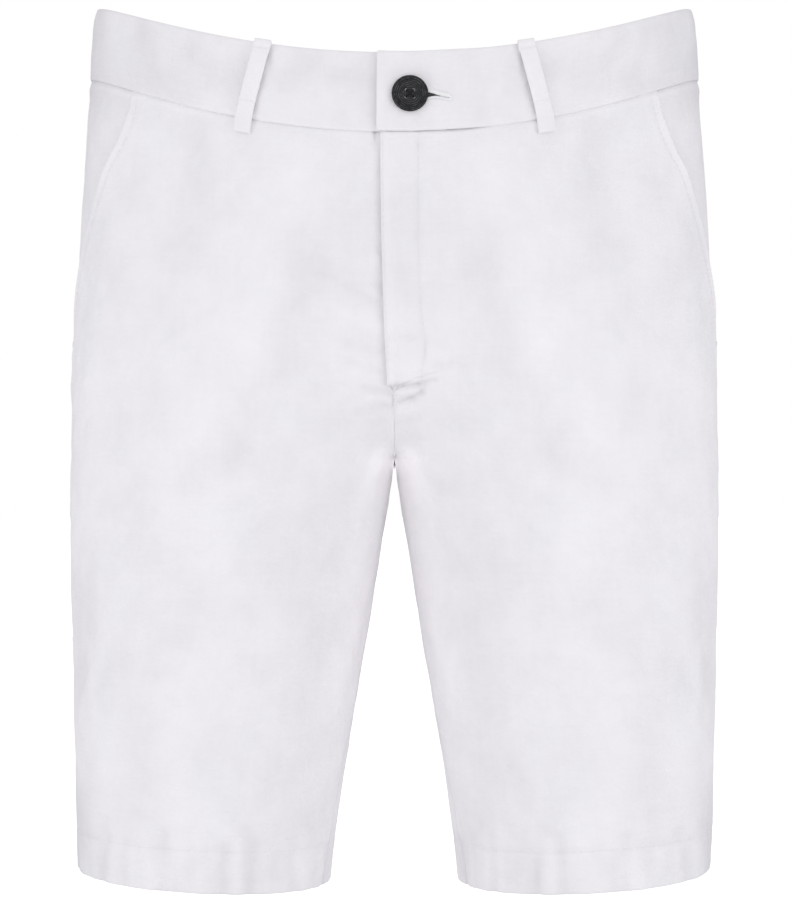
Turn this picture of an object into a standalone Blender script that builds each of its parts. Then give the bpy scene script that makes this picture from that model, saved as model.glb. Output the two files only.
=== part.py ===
"""Flat-front bermuda shorts in linen, filled out as they are worn.

The frame stands at the waist: the origin is the middle of the waist opening, level with the top
edge at the sides, +Z is up, the front faces -Y and the wearer's left is +X.

Every cloth piece is a wall laid on one form. A place on that form has two numbers:
  girth  0 at the centre front, 0.5 at the side, 1 at the centre back; on the leg both 0 and 1
         are the inseam. Below 0 and above 1 it runs on past the centre, onto the other half.
  drop   -1 at the top of the waistband, 0 at its seam, 1 at the hip, 2 at the crotch, 3 at the hem.
All lengths below are millimetres, and the finished meshes are metres.
"""

import math
from bisect import bisect_right
from collections import namedtuple
from functools import lru_cache

import bmesh
import bpy
from mathutils import Matrix, Vector

MM = 0.001

# How finely the pieces are cut into faces, along their rows
FRONT_COLUMNS = 13
BACK_COLUMNS = 13
BAND_COLUMNS = 36

# Cloth
WALL = 1.2              # a panel
BAND_WALL = 2.4         # the waistband, four layers of cloth
HEM_WALL = 2.6          # the turned hem
LOOP_WALL = 1.4         # a belt loop between its ends
LOOP_END_WALL = 2.8     # where its end is turned under
SEAM_GAP = 0.3          # between pieces that meet or lie on each other

# Heights
HIP = -180.0
CROTCH = -262.0
HEM_MIDDLE = -502.0     # the hem at the middle of the leg
HEM_TILT = 4.0          # its inner end lies this much lower, its outer end this much higher
HEM_DEPTH = 25.0
TOP_SIDE = -1.4         # the waistband's top edge at the side seam
TOP_FRONT_DIP = 38.1    # how far it dips towards the centre front
TOP_BACK_DIP = 9.0
SEAM_SIDE = -41.0       # the waistband's seam at the side seam
SEAM_FRONT_DIP = 42.0
SEAM_BACK_DIP = 11.0
RISE_SQUARE_FRONT = 3.5     # how tightly the crotch seam turns under, 2 being an ellipse
RISE_SQUARE_BACK = 2.4
SPLIT_START = 0.25          # the part of the way from hip to crotch where the legs start to round
SPLIT_GIRTH = 0.13          # beside the crotch seam, the girth in which they follow it instead
INSEAM_FORWARD = 0.055      # the girth by which the inseam swings forward at the hem
CENTRE_GIRTH = 0.22         # the girth in which rows leave the crotch seam's slant and run level

# Fly
FLY_BOTTOM = -222.0
FLY_STEP = 4.0          # the height in which the lap steps back to the centre seam
FLY_FADE = 22.0         # the height below it in which the raised cloth settles
LAP_FLAT = 12.0         # how far the lapping front stays raised on its own side
LAP_FADE = 30.0         # the width in which it settles
UNDERLAP_REACH = 33.0   # the shield's reach past the centre
UNDERLAP_BACK = 14.0    # how far it lies behind the other front
UNDERLAP_BOTTOM = -205.0
UNDERLAP_SLACK = 0.25   # its extra clearance behind the fronts

# Waistband ends
BAND_PROUD = 0.5        # the band stands this far out from the panels
BAND_LAP_TOP = -10.4    # where the upper end stops, at the top edge and at the seam
BAND_LAP_SEAM = -7.6
BAND_UNDER_END = 28.0   # where the lower end stops
BAND_LAP_FADE = 26.0    # the width beyond it in which the upper end settles

# Belt loops
LOOP_WIDTH = 10.0
LOOP_BELOW = 10.5       # how far a loop reaches below the waistband's seam
LOOP_TURN = 8.0         # the length of its turned end
LOOP_LIFT = 0.8         # its clearance over the panels at its ends
LOOP_BOW = 1.6          # what the bow adds to that between them
FRONT_LOOP_TOP = 0.220  # the girth of a front loop at the top edge and below the seam
FRONT_LOOP_LOW = 0.2385
SIDE_LOOP = 0.548

# Button
BUTTON_RADIUS = 10.0
BUTTON_ACROSS = 8.2     # its centre, from the centre front
BUTTON_HEIGHT = -63.5
HOLE_RADIUS = 0.95
HOLE_SPREAD = 2.0       # from the button's centre to a hole's, along each axis
BUTTON_BACK = 1.3       # from the plane it is turned about to its back
# The turned section, from the middle of the back round the rim to the middle of the face
ButtonStop = namedtuple("ButtonStop", "radius height")
BUTTON_SECTION = [
    ButtonStop(0.0, -BUTTON_BACK),
    ButtonStop(8.4, -BUTTON_BACK),
    ButtonStop(9.6, -0.7),
    ButtonStop(BUTTON_RADIUS, 0.2),
    ButtonStop(9.7, 1.3),
    ButtonStop(9.0, 1.7),
    ButtonStop(8.2, 1.5),
    ButtonStop(7.4, 0.9),
    ButtonStop(6.8, 0.7),
    ButtonStop(0.0, 0.6),
]

LINEN = (0.80, 0.79, 0.81, 1.0)
HORN = (0.035, 0.034, 0.036, 1.0)

Pelvis = namedtuple("Pelvis", "height half_width front back square")
PELVIS = [
    Pelvis(0, 171.5, 104, 105, 2.10),
    Pelvis(-10, 174.0, 105, 107, 2.10),
    Pelvis(-41, 176.0, 108, 113, 2.15),
    Pelvis(-76, 178.6, 111, 122, 2.20),
    Pelvis(-111, 181.0, 114, 131, 2.20),
    Pelvis(-146, 183.3, 117, 139, 2.20),
    Pelvis(-181, 185.6, 119, 143, 2.20),
    Pelvis(-227, 187.4, 118, 138, 2.20),
    Pelvis(-262, 187.9, 114, 127, 2.20),
]

# square shapes the leg's outer half, and square_in the half towards the other leg
Leg = namedtuple("Leg", "height outer inner front back square square_in")
LEG = [
    Leg(-180, 185.6, -6.0, 116, 138, 2.20, 3.0),
    Leg(-262, 187.9, 0.0, 112, 124, 2.20, 3.0),
    Leg(-310, 187.9, 7.4, 108, 112, 2.20, 2.7),
    Leg(-356, 186.8, 14.6, 103, 102, 2.20, 2.4),
    Leg(-426, 185.0, 26.2, 95, 89, 2.15, 2.2),
    Leg(-470, 184.0, 32.6, 90, 82, 2.10, 2.1),
    Leg(-510, 182.3, 37.6, 87, 77, 2.10, 2.1),
]

# The slant pocket's opening, from the waistband's seam to the side seam
PocketEdge = namedtuple("PocketEdge", "height degrees")
POCKET_EDGE = [
    PocketEdge(-50, 56.5),
    PocketEdge(-75, 59.5),
    PocketEdge(-98, 66.0),
    PocketEdge(-121, 71.5),
    PocketEdge(-160, 80.5),
    PocketEdge(-205, 90.0),
]
TABLES = {"pelvis": PELVIS, "leg": LEG, "pocket_edge": POCKET_EDGE}

POCKET_BOTTOM = -205.0
POCKET_UNDER = 0.042    # the girth by which the side piece runs on under the front
POCKET_FLAT = 0.014     # the girth past the opening's edge in which it stays sunk
POCKET_RISE = 0.055     # the girth in which it then comes up level with the back
POCKET_SLACK = 0.15     # its extra clearance behind the front

# The largest folds: soft troughs (depth below 0) and ridges, from one end to the other.
# half is 1 for the wearer's left, -1 for the right and 0 for both.
Fold = namedtuple("Fold", "half girth_a height_a girth_b height_b width depth")
FOLDS = [
    Fold(0, 0.289, -62, 0.292, -150, 15, -2.0),     # from the waistband beside the pocket
    Fold(0, 0.198, -86, 0.225, -195, 17, 1.6),      # ridge below the front belt loop
    Fold(0, 0.184, -150, 0.192, -195, 16, -1.6),    # beside the fly
    Fold(0, 0.235, -260, 0.285, -276, 12, -1.8),    # across the top of the thigh
    Fold(0, 0.408, -322, 0.432, -382, 17, -3.0),    # outer leg
    Fold(1, 0.330, -300, 0.290, -345, 18, -1.4),
    Fold(-1, 0.335, -290, 0.285, -350, 18, -1.6),
    Fold(0, 0.110, -300, 0.135, -400, 20, -1.8),    # inner thigh
    Fold(0, 0.650, -258, 0.830, -285, 15, -3.0),    # under the seat
    Fold(1, 0.600, -305, 0.740, -345, 18, -2.2),
    Fold(-1, 0.610, -315, 0.735, -352, 17, -2.4),
    Fold(0, 0.890, -305, 0.860, -390, 20, -2.0),    # back of the inner thigh
    Fold(1, 0.830, -110, 0.700, -160, 20, -1.8),    # above the seat
    Fold(-1, 0.840, -118, 0.710, -158, 20, -1.6),
    Fold(1, 0.700, -400, 0.640, -455, 18, -1.8),
    Fold(-1, 0.720, -395, 0.660, -450, 18, -1.8),
]
FOLD_GIRTH = 600.0      # the length that a whole half's girth stands for in a fold's width
NORMAL_REACH = 8.0      # outward directions are taken over this length of a row
NORMAL_STEP = 0.004
HALVINGS = 30           # how often a search halves the range that it looks in


def smoothstep(value):
    """0 below 0, 1 above 1, and a soft S between them."""
    value = min(max(value, 0.0), 1.0)
    return value * value * (3.0 - 2.0 * value)


def mix(start, end, part):
    return start + (end - start) * part


@lru_cache(maxsize=None)
def column_of(table, column):
    """One column of a table from the lowest row up: its heights, values and slopes."""
    rows = sorted(TABLES[table], key=lambda row: row.height)
    heights = [row.height for row in rows]
    values = [getattr(row, column) for row in rows]
    slopes = []
    for i in range(len(rows)):
        before = max(i - 1, 0)
        after = min(i + 1, len(rows) - 1)
        slopes.append((values[after] - values[before]) / (heights[after] - heights[before]))
    return heights, values, slopes


def curve(table, column, height):
    """Read one column of a table at a height, on a smooth curve through its rows."""
    heights, values, slopes = column_of(table, column)
    height = min(max(height, heights[0]), heights[-1])
    low = min(bisect_right(heights, height), len(heights) - 1) - 1
    span = heights[low + 1] - heights[low]
    t = (height - heights[low]) / span
    climb = values[low + 1] - values[low]
    bend_low = slopes[low] * span - climb
    bend_high = climb - slopes[low + 1] * span
    return values[low] + t * climb + t * (1 - t) * (bend_low * (1 - t) + bend_high * t)


def squared(angle, square):
    """Unit ellipse point at an angle, pushed out towards a square one."""
    across = math.sin(angle)
    along = math.cos(angle)
    reach = (abs(across) ** square + abs(along) ** square) ** (-1.0 / square)
    return across * reach, along * reach


def leg_point(girth, height):
    angle = 2 * math.pi * girth
    half = "square_in" if math.cos(angle) > 0 else "square"
    along, across = squared(angle, curve("leg", half, height))
    outer = curve("leg", "outer", height)
    inner = max(curve("leg", "inner", height), 0.0)
    front = curve("leg", "front", height)
    back = curve("leg", "back", height)
    middle = (back - front) / 2
    depth = (back + front) / 2
    return Vector(((outer + inner) / 2 - (outer - inner) / 2 * across, middle - depth * along, height))


def reach_of(girth):
    """How far out towards the side a girth lies, as a part of the half width."""
    return min(leg_point(girth, CROTCH).x / curve("leg", "outer", CROTCH), 1.0)


def pelvis_point(girth, height):
    """A girth runs straight up from where it passes the top of the leg."""
    reach = reach_of(girth)
    square = curve("pelvis", "square", height)
    along = (1 - reach ** square) ** (1 / square)
    if girth < 0.5:
        depth = -curve("pelvis", "front", height)
    else:
        depth = curve("pelvis", "back", height)
    return Vector((curve("pelvis", "half_width", height) * reach, depth * along, height))


def top_edge(girth):
    dip = TOP_FRONT_DIP if girth < 0.5 else TOP_BACK_DIP
    return TOP_SIDE - dip * (1 - reach_of(girth) ** 2)


def band_seam(girth):
    dip = SEAM_FRONT_DIP if girth < 0.5 else SEAM_BACK_DIP
    return SEAM_SIDE - dip * (1 - reach_of(girth) ** 2)


def hem_edge(girth):
    return HEM_MIDDLE - HEM_TILT * math.cos(2 * math.pi * girth)


def near_centre(girth):
    """1 at the centre seams and 0 away from them, where rows run level."""
    return 1.0 - smoothstep(min(girth, 1.0 - girth) / CENTRE_GIRTH)


def rise(girth, drop):
    """The crotch seam's way under: the parts of its height and of its depth that are done."""
    square = mix(RISE_SQUARE_FRONT, RISE_SQUARE_BACK, smoothstep(girth))
    fallen, left = squared(math.pi / 2 * (drop - 1), square)
    return fallen, 1 - left


def height_at(girth, drop):
    if drop < 0:
        return mix(band_seam(girth), top_edge(girth), -drop)
    if drop < 1:
        return mix(band_seam(girth), HIP, drop)
    if drop < 2:
        return mix(HIP, CROTCH, mix(drop - 1, rise(girth, drop)[0], near_centre(girth)))
    return mix(CROTCH, hem_edge(girth), drop - 2)


@lru_cache(maxsize=None)
def bare_form(girth, drop):
    """A point of the left half's form, without its folds."""
    if drop < 2 and girth < 0:
        point = bare_form(-girth, drop)
        return Vector((-point.x, point.y, point.z))
    if drop < 2 and girth > 1:
        point = bare_form(2 - girth, drop)
        return Vector((-point.x, point.y, point.z))
    height = height_at(girth % 1.0 if drop >= 2 else girth, drop)
    if drop <= 1:
        return pelvis_point(girth, height)
    if drop >= 2:
        return leg_point(girth, height)
    beside = smoothstep(min(girth, 1 - girth) / SPLIT_GIRTH)
    split = smoothstep((drop - 1 - SPLIT_START) / (1 - SPLIT_START))
    parted = mix(rise(girth, drop)[1], split, beside)
    return pelvis_point(girth, height).lerp(leg_point(girth, height), parted)


def spot_beyond(girth, drop, way):
    """The form's point at least NORMAL_REACH along the row from a place."""
    here = bare_form(girth, drop)
    there = here
    while (there - here).length < NORMAL_REACH:
        girth += way * NORMAL_STEP
        there = bare_form(girth, drop)
    return there


@lru_cache(maxsize=None)
def outward(girth, drop):
    """The form's outward direction."""
    if drop < 2 and girth < 0:
        side = outward(-girth, drop)
        return Vector((-side.x, side.y, side.z))
    if drop < 2 and girth > 1:
        side = outward(2 - girth, drop)
        return Vector((-side.x, side.y, side.z))
    around = spot_beyond(girth, drop, 1) - spot_beyond(girth, drop, -1)
    down = bare_form(girth, min(drop + 0.01, 3.0)) - bare_form(girth, max(drop - 0.01, -1.0))
    return down.cross(around).normalized()


def folded(half, girth, height):
    """How far the largest folds push the cloth out at a place."""
    total = 0.0
    for fold in FOLDS:
        if fold.half not in (0, half):
            continue
        run = Vector(((fold.girth_b - fold.girth_a) * FOLD_GIRTH, fold.height_b - fold.height_a))
        reach = Vector(((girth - fold.girth_a) * FOLD_GIRTH, height - fold.height_a))
        along = min(max(reach.dot(run) / run.length_squared, 0.0), 1.0)
        away = (reach - run * along).length / fold.width
        total += fold.depth * math.exp(-away * away)
    return total


def form(half, girth, drop, lift=0.0):
    """A point in metres, lifted off the folded form, on the left (1) or right (-1) half."""
    point = bare_form(girth, drop)
    fade = smoothstep(min(girth, 1 - girth) / 0.03) * smoothstep(drop / 0.12)
    point = point + outward(girth, drop) * (lift + fade * folded(half, girth, point.z))
    return Vector((half * (point.x + SEAM_GAP / 2), point.y, point.z)) * MM


def drop_at(girth, height):
    """The drop at which the form has a height, above the crotch."""
    low, high = -1.0, 2.0
    for _ in range(HALVINGS):
        middle = (low + high) / 2
        if height_at(girth, middle) > height:
            low = middle
        else:
            high = middle
    return low


def girth_of(across, drop):
    """The front girth at a distance across from the centre; past the centre it is below 0."""
    low, high = 0.0, 0.5
    for _ in range(HALVINGS):
        middle = (low + high) / 2
        if bare_form(middle, drop).x < abs(across):
            low = middle
        else:
            high = middle
    return math.copysign(low, across)


def girth_along(girth, drop, distance):
    """The girth at a distance along the row from another one."""
    way = math.copysign(NORMAL_STEP, distance)
    left = abs(distance)
    here = bare_form(girth, drop)
    while left > 0:
        there = bare_form(girth + way, drop)
        step = (there - here).length
        if step > left:
            return girth + way * left / step
        left -= step
        girth += way
        here = there
    return girth


@lru_cache(maxsize=None)
def even_girths(start, end, drop, pieces):
    """Girths that cut a row from start to end into pieces of one length."""
    samples = 8 * pieces
    girths = [mix(start, end, i / samples) for i in range(samples + 1)]
    points = [bare_form(girth, drop) for girth in girths]
    run = [0.0]
    for here, there in zip(points, points[1:]):
        run.append(run[-1] + (there - here).length)
    found = [start]
    i = 0
    for piece in range(1, pieces):
        wanted = run[-1] * piece / pieces
        while run[i + 1] < wanted:
            i += 1
        found.append(mix(girths[i], girths[i + 1], (wanted - run[i]) / (run[i + 1] - run[i])))
    return found + [end]


def make_material(name, colour, roughness):
    material = bpy.data.materials.new(name)
    material.use_nodes = True
    shader = material.node_tree.nodes["Principled BSDF"]
    shader.inputs["Base Color"].default_value = colour
    shader.inputs["Roughness"].default_value = roughness
    shader.inputs["Metallic"].default_value = 0.0
    return material


def add_object(name, bm, material):
    bmesh.ops.recalc_face_normals(bm, faces=list(bm.faces))
    if bm.calc_volume(signed=True) < 0:
        bmesh.ops.reverse_faces(bm, faces=list(bm.faces))
    mesh = bpy.data.meshes.new(name)
    bm.to_mesh(mesh)
    bm.free()
    mesh.materials.append(material)
    mesh.shade_smooth()
    mesh.set_sharp_from_angle(angle=math.radians(50))
    thing = bpy.data.objects.new(name, mesh)
    bpy.context.collection.objects.link(thing)
    return thing


def sew_gap(place, across, down, part, row, edges):
    """A grid point, drawn back by half a seam gap where the piece's edge is sewn to another."""
    point = place(part / across, row / down)
    for edge, at_edge, neighbour in (
        ("start", part == 0, (1 / across, row / down)),
        ("end", part == across, (1 - 1 / across, row / down)),
        ("top", row == 0, (part / across, 1 / down)),
        ("bottom", row == down, (part / across, 1 - 1 / down)),
    ):
        if at_edge and edge in edges:
            towards = place(*neighbour) - point
            point = point + towards.normalized() * (SEAM_GAP / 2 * MM)
    return point


def add_cloth(name, across, down, outer, inner, material, edges=(), split=False):
    """A cloth wall: a grid whose face follows outer, extruded to a back that follows inner.

    outer and inner take the part across (0 to 1) and the part down (0 to 1). split cuts each
    quad along its shorter diagonal, which keeps a piece smooth where it turns under sharply.
    """
    bm = bmesh.new()
    bmesh.ops.create_grid(bm, x_segments=across, y_segments=down, size=1.0)
    part_layer = bm.verts.layers.int.new("part")
    row_layer = bm.verts.layers.int.new("row")
    for vert in bm.verts:
        vert[part_layer] = round((vert.co.x + 1) / 2 * across)
        vert[row_layer] = round((1 - vert.co.y) / 2 * down)
    front = list(bm.verts)
    copied = bmesh.ops.extrude_face_region(bm, geom=list(bm.faces))["geom"]
    for vert in front:
        vert.co = sew_gap(outer, across, down, vert[part_layer], vert[row_layer], edges)
    for vert in copied:
        if isinstance(vert, bmesh.types.BMVert):
            vert.co = sew_gap(inner, across, down, vert[part_layer], vert[row_layer], edges)
    if split:
        bmesh.ops.triangulate(bm, faces=list(bm.faces), quad_method="SHORT_EDGE")
    return add_object(name, bm, material)


@lru_cache(maxsize=None)
def pocket_edge(drop):
    """The girth where the pocket opening cuts the front at this drop."""
    height = height_at(0.42, drop)
    if height < POCKET_BOTTOM:
        return 0.5
    reach = math.sin(math.radians(curve("pocket_edge", "degrees", height)))
    low, high = 0.25, 0.5
    for _ in range(HALVINGS):
        middle = (low + high) / 2
        if reach_of(middle) < reach:
            low = middle
        else:
            high = middle
    return low


def lap_edge(drop):
    """The girth, below 0, of the lapping front's edge; 0 below the fly."""
    height = height_at(0.0, drop)
    if height < FLY_BOTTOM - FLY_STEP / 2:
        return 0.0
    seam = band_seam(0.0)
    across = mix(BAND_LAP_SEAM, -4.0, ((seam - height) / (seam - FLY_BOTTOM)) ** 2)
    return girth_of(across, drop)


def lap_lift(girth, drop):
    """How far the lapping front is raised over the other one."""
    across = bare_form(girth, drop).x
    height = height_at(0.0, drop)
    beside = 1 - smoothstep((across - LAP_FLAT) / LAP_FADE)
    below = 1 - smoothstep((FLY_BOTTOM - FLY_STEP - 1 - height) / FLY_FADE)
    return (WALL + SEAM_GAP) * beside * below


def front_rows():
    """The drops of a front's rows: waist seam to hem, with the fly's step and the hem's turn."""
    step_top = drop_at(0.0, FLY_BOTTOM)
    step_low = drop_at(0.0, FLY_BOTTOM - FLY_STEP)
    hem_turn = 3 - HEM_DEPTH / (CROTCH - HEM_MIDDLE)
    upper = [0.0, 0.16, 0.32, 0.48, 0.64, 0.8, 0.93, 1.07, 1.2]
    crotch = [1.5, 1.64, 1.76, 1.87, 2.0]
    leg = [2.07, 2.15, 2.23, 2.31, 2.39, 2.47, 2.55, 2.63, 2.71, 2.79, 2.85]
    return upper + [step_top, step_low] + crotch + leg + [hem_turn - 0.006, hem_turn, 2.95, 3.0]


def back_rows():
    hem_turn = 3 - HEM_DEPTH / (CROTCH - HEM_MIDDLE)
    upper = [0.0, 0.14, 0.28, 0.42, 0.56, 0.7, 0.84, 1.0, 1.14, 1.28]
    crotch = [1.4, 1.52, 1.64, 1.76, 1.88, 2.0]
    leg = [2.07, 2.15, 2.23, 2.31, 2.39, 2.47, 2.55, 2.63, 2.71, 2.79, 2.85]
    return upper + crotch + leg + [hem_turn - 0.006, hem_turn, 2.95, 3.0]


def inseam(drop):
    """The girth of the inseam, which swings forward down the leg."""
    return INSEAM_FORWARD * max(drop - 2, 0.0)


def wall_at(drop):
    """The panels' thickness, more where the hem is turned up."""
    return HEM_WALL if drop > 3 - HEM_DEPTH / (CROTCH - HEM_MIDDLE) - 0.001 else WALL


def add_front(name, half, linen):
    rows = front_rows()
    laps = half > 0

    def spot(part, down):
        drop = rows[round(down * (len(rows) - 1))]
        start = inseam(drop) + (lap_edge(drop) if laps else 0.0)
        girth = even_girths(start, pocket_edge(drop), drop, FRONT_COLUMNS)[round(part * FRONT_COLUMNS)]
        return girth, drop, lap_lift(girth, drop) if laps else 0.0

    def outer(part, down):
        girth, drop, lift = spot(part, down)
        return form(half, girth, drop, lift)

    def inner(part, down):
        girth, drop, lift = spot(part, down)
        return form(half, girth, drop, lift - wall_at(drop))

    return add_cloth(name, FRONT_COLUMNS, len(rows) - 1, outer, inner, linen,
                     edges=("start", "end", "top"), split=True)


def add_back(name, half, linen):
    rows = back_rows()

    def spot(part, down):
        drop = rows[round(down * (len(rows) - 1))]
        girths = even_girths(0.5, 1.0 + inseam(drop), drop, BACK_COLUMNS)
        return girths[round(part * BACK_COLUMNS)], drop

    def outer(part, down):
        return form(half, *spot(part, down))

    def inner(part, down):
        girth, drop = spot(part, down)
        return form(half, girth, drop, -wall_at(drop))

    return add_cloth(name, BACK_COLUMNS, len(rows) - 1, outer, inner, linen,
                     edges=("start", "end", "top"), split=True)


def add_pocket_side(name, half, linen):
    rows = 10
    last = drop_at(0.5, POCKET_BOTTOM - 12)

    def spot(part, down):
        drop = mix(0.0, last, down)
        edge = pocket_edge(drop)
        girth = mix(edge - POCKET_UNDER, 0.5, part)
        sunk = 1 - smoothstep((girth - edge - POCKET_FLAT) / POCKET_RISE)
        return girth, drop, -(WALL + SEAM_GAP + POCKET_SLACK) * sunk

    def outer(part, down):
        return form(half, *spot(part, down))

    def inner(part, down):
        girth, drop, lift = spot(part, down)
        return form(half, girth, drop, lift - WALL)

    return add_cloth(name, 8, rows, outer, inner, linen, edges=("end", "top"))


def add_fly_underlap(name, linen):
    def outer(part, down):
        drop = mix(0.02, drop_at(0.0, UNDERLAP_BOTTOM), down)
        across = mix(-UNDERLAP_BACK, UNDERLAP_REACH, part)
        return form(1, girth_of(across, drop), drop, -WALL - SEAM_GAP - UNDERLAP_SLACK)

    def inner(part, down):
        drop = mix(0.02, drop_at(0.0, UNDERLAP_BOTTOM), down)
        across = mix(-UNDERLAP_BACK, UNDERLAP_REACH, part)
        return form(1, girth_of(across, drop), drop, -2 * WALL - SEAM_GAP - UNDERLAP_SLACK)

    return add_cloth(name, 4, 9, outer, inner, linen)


def add_waistband(name, half, linen):
    """One half of the band, from its front end to the centre back."""
    over = half > 0

    def spot(part, down):
        drop = mix(-1.0, 0.0, down)
        if over:
            across = mix(BAND_LAP_TOP, BAND_LAP_SEAM, down)
        else:
            across = -BAND_UNDER_END
        start = girth_of(across, drop)
        girth = even_girths(start, 1.0, drop, BAND_COLUMNS)[round(part * BAND_COLUMNS)]
        reach = bare_form(min(girth, 0.5), drop).x
        raised = 1 - smoothstep((reach - BAND_UNDER_END - 2) / BAND_LAP_FADE)
        lift = (BAND_WALL + SEAM_GAP) * raised if over else 0.0
        return girth, drop, lift + BAND_PROUD

    def outer(part, down):
        return form(half, *spot(part, down))

    def inner(part, down):
        girth, drop, lift = spot(part, down)
        return form(half, girth, drop, lift - BAND_WALL)

    return add_cloth(name, BAND_COLUMNS, 3, outer, inner, linen, edges=("end", "bottom"))


def add_belt_loop(name, half, top_girth, low_girth, linen):
    """A strip from below the waistband's seam to its top edge, turned under at both ends."""
    steps = 10
    low_drop = drop_at(low_girth, band_seam(low_girth) - LOOP_BELOW)
    length = top_edge(top_girth) - band_seam(low_girth) + LOOP_BELOW
    turn = LOOP_TURN / length

    def spot(part, down):
        drop = mix(-1.02, low_drop, down)
        girth = mix(top_girth, low_girth, down)
        return girth_along(girth, drop, (part - 0.5) * LOOP_WIDTH), drop

    def ends(down):
        """1 on the turned ends, 0 along the free middle."""
        return 1 - smoothstep((min(down, 1 - down) - turn) / turn)

    def outer(part, down):
        girth, drop = spot(part, down)
        lift = LOOP_LIFT + mix(LOOP_BOW + LOOP_WALL, LOOP_END_WALL, ends(down))
        return form(half, girth, drop, lift + BAND_PROUD)

    def inner(part, down):
        girth, drop = spot(part, down)
        return form(half, girth, drop, LOOP_LIFT + LOOP_BOW * (1 - ends(down)))

    return add_cloth(name, 2, steps, outer, inner, linen)


def add_button(name, horn):
    """A turned button with a raised rim, drilled with four holes, face out on the waistband."""
    bm = bmesh.new()
    verts = [bm.verts.new((stop.radius * MM, 0.0, stop.height * MM)) for stop in BUTTON_SECTION]
    edges = [bm.edges.new(pair) for pair in zip(verts, verts[1:])]
    bmesh.ops.spin(bm, geom=verts + edges, cent=(0, 0, 0), axis=(0, 0, 1), angle=2 * math.pi,
                   steps=40, use_merge=True)
    bmesh.ops.remove_doubles(bm, verts=list(bm.verts), dist=1e-6)
    button = add_object(name, bm, horn)
    for across in (-1, 1):
        for along in (-1, 1):
            drill = bmesh.new()
            place = Matrix.Translation(Vector((across, along, 0)) * HOLE_SPREAD * MM)
            bmesh.ops.create_cone(drill, cap_ends=True, segments=10, radius1=HOLE_RADIUS * MM,
                                  radius2=HOLE_RADIUS * MM, depth=8 * MM, matrix=place)
            cutter = add_object(f"drill_{across}_{along}", drill, horn)
            cutter.hide_render = True
            cutter.display_type = "WIRE"
            cutter.parent = button
            cut = button.modifiers.new("hole", "BOOLEAN")
            cut.object = cutter
            cut.operation = "DIFFERENCE"
    drop = drop_at(0.0, BUTTON_HEIGHT)
    girth = girth_of(BUTTON_ACROSS, drop)
    face = BAND_PROUD + BAND_WALL + SEAM_GAP
    seat = BUTTON_BACK + SEAM_GAP
    button.location = form(1, girth, drop, face + seat)
    button.rotation_euler = outward(girth, drop).to_track_quat("Z", "Y").to_euler()
    return button


def main():
    for thing in list(bpy.data.objects):
        bpy.data.objects.remove(thing)
    linen = make_material("linen", LINEN, 0.9)
    horn = make_material("horn", HORN, 0.4)
    for side, half in (("left", 1), ("right", -1)):
        add_front(f"front_{side}", half, linen)
        add_back(f"back_{side}", half, linen)
        add_pocket_side(f"pocket_side_{side}", half, linen)
        add_waistband(f"waistband_{side}", half, linen)
        add_belt_loop(f"belt_loop_front_{side}", half, FRONT_LOOP_TOP, FRONT_LOOP_LOW, linen)
        add_belt_loop(f"belt_loop_side_{side}", half, SIDE_LOOP, SIDE_LOOP, linen)
    add_belt_loop("belt_loop_back", 1, 1.0, 1.0, linen)
    add_fly_underlap("fly_underlap", linen)
    add_button("button", horn)


main()
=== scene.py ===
"""Linen bermuda shorts, filled out as they are worn, around their fitted frame.

A place on the garment has two numbers, as the frame's pieces have:
  girth  0 at the centre front, 0.5 at the side, 1 at the centre back; on the leg both 0 and 1
         are the inseam. Below 0 and above 1 it runs on past the centre, onto the other half.
  drop   -1 at the top of the waistband, 0 at its seam, 1 at the hip, 2 at the crotch, 3 at
         the hem.
Lengths in the tables are millimetres, and finished meshes are metres.
"""

import math
from collections import namedtuple

import bmesh
import bpy
import numpy as np
from bpy.props import FloatProperty, FloatVectorProperty, PointerProperty
from mathutils import Matrix, Vector
from mathutils.bvhtree import BVHTree


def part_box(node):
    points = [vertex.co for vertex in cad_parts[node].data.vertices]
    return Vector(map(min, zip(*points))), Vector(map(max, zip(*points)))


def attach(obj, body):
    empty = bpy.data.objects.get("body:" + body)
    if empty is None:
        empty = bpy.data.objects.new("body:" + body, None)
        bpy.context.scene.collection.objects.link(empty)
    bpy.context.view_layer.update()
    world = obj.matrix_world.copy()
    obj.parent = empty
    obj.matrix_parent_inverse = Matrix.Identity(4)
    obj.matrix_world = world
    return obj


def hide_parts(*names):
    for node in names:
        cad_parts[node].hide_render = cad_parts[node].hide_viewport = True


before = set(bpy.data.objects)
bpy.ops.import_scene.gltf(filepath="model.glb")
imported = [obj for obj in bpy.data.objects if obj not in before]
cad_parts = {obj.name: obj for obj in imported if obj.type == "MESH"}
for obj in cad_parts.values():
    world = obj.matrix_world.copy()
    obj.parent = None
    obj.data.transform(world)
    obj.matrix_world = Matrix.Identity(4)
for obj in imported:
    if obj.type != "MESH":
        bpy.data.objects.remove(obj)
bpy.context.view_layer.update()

bl_info = {
    "name": "Linen bermuda shorts",
    "version": (1, 0, 0),
    "blender": (4, 5, 0),
    "location": "View3D > Sidebar > Shorts",
    "description": "Sews linen bermuda shorts around their fitted frame",
    "category": "Add Mesh",
}

MM = 0.001

# ---------------------------------------------------------------------------- the garment's form

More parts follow.
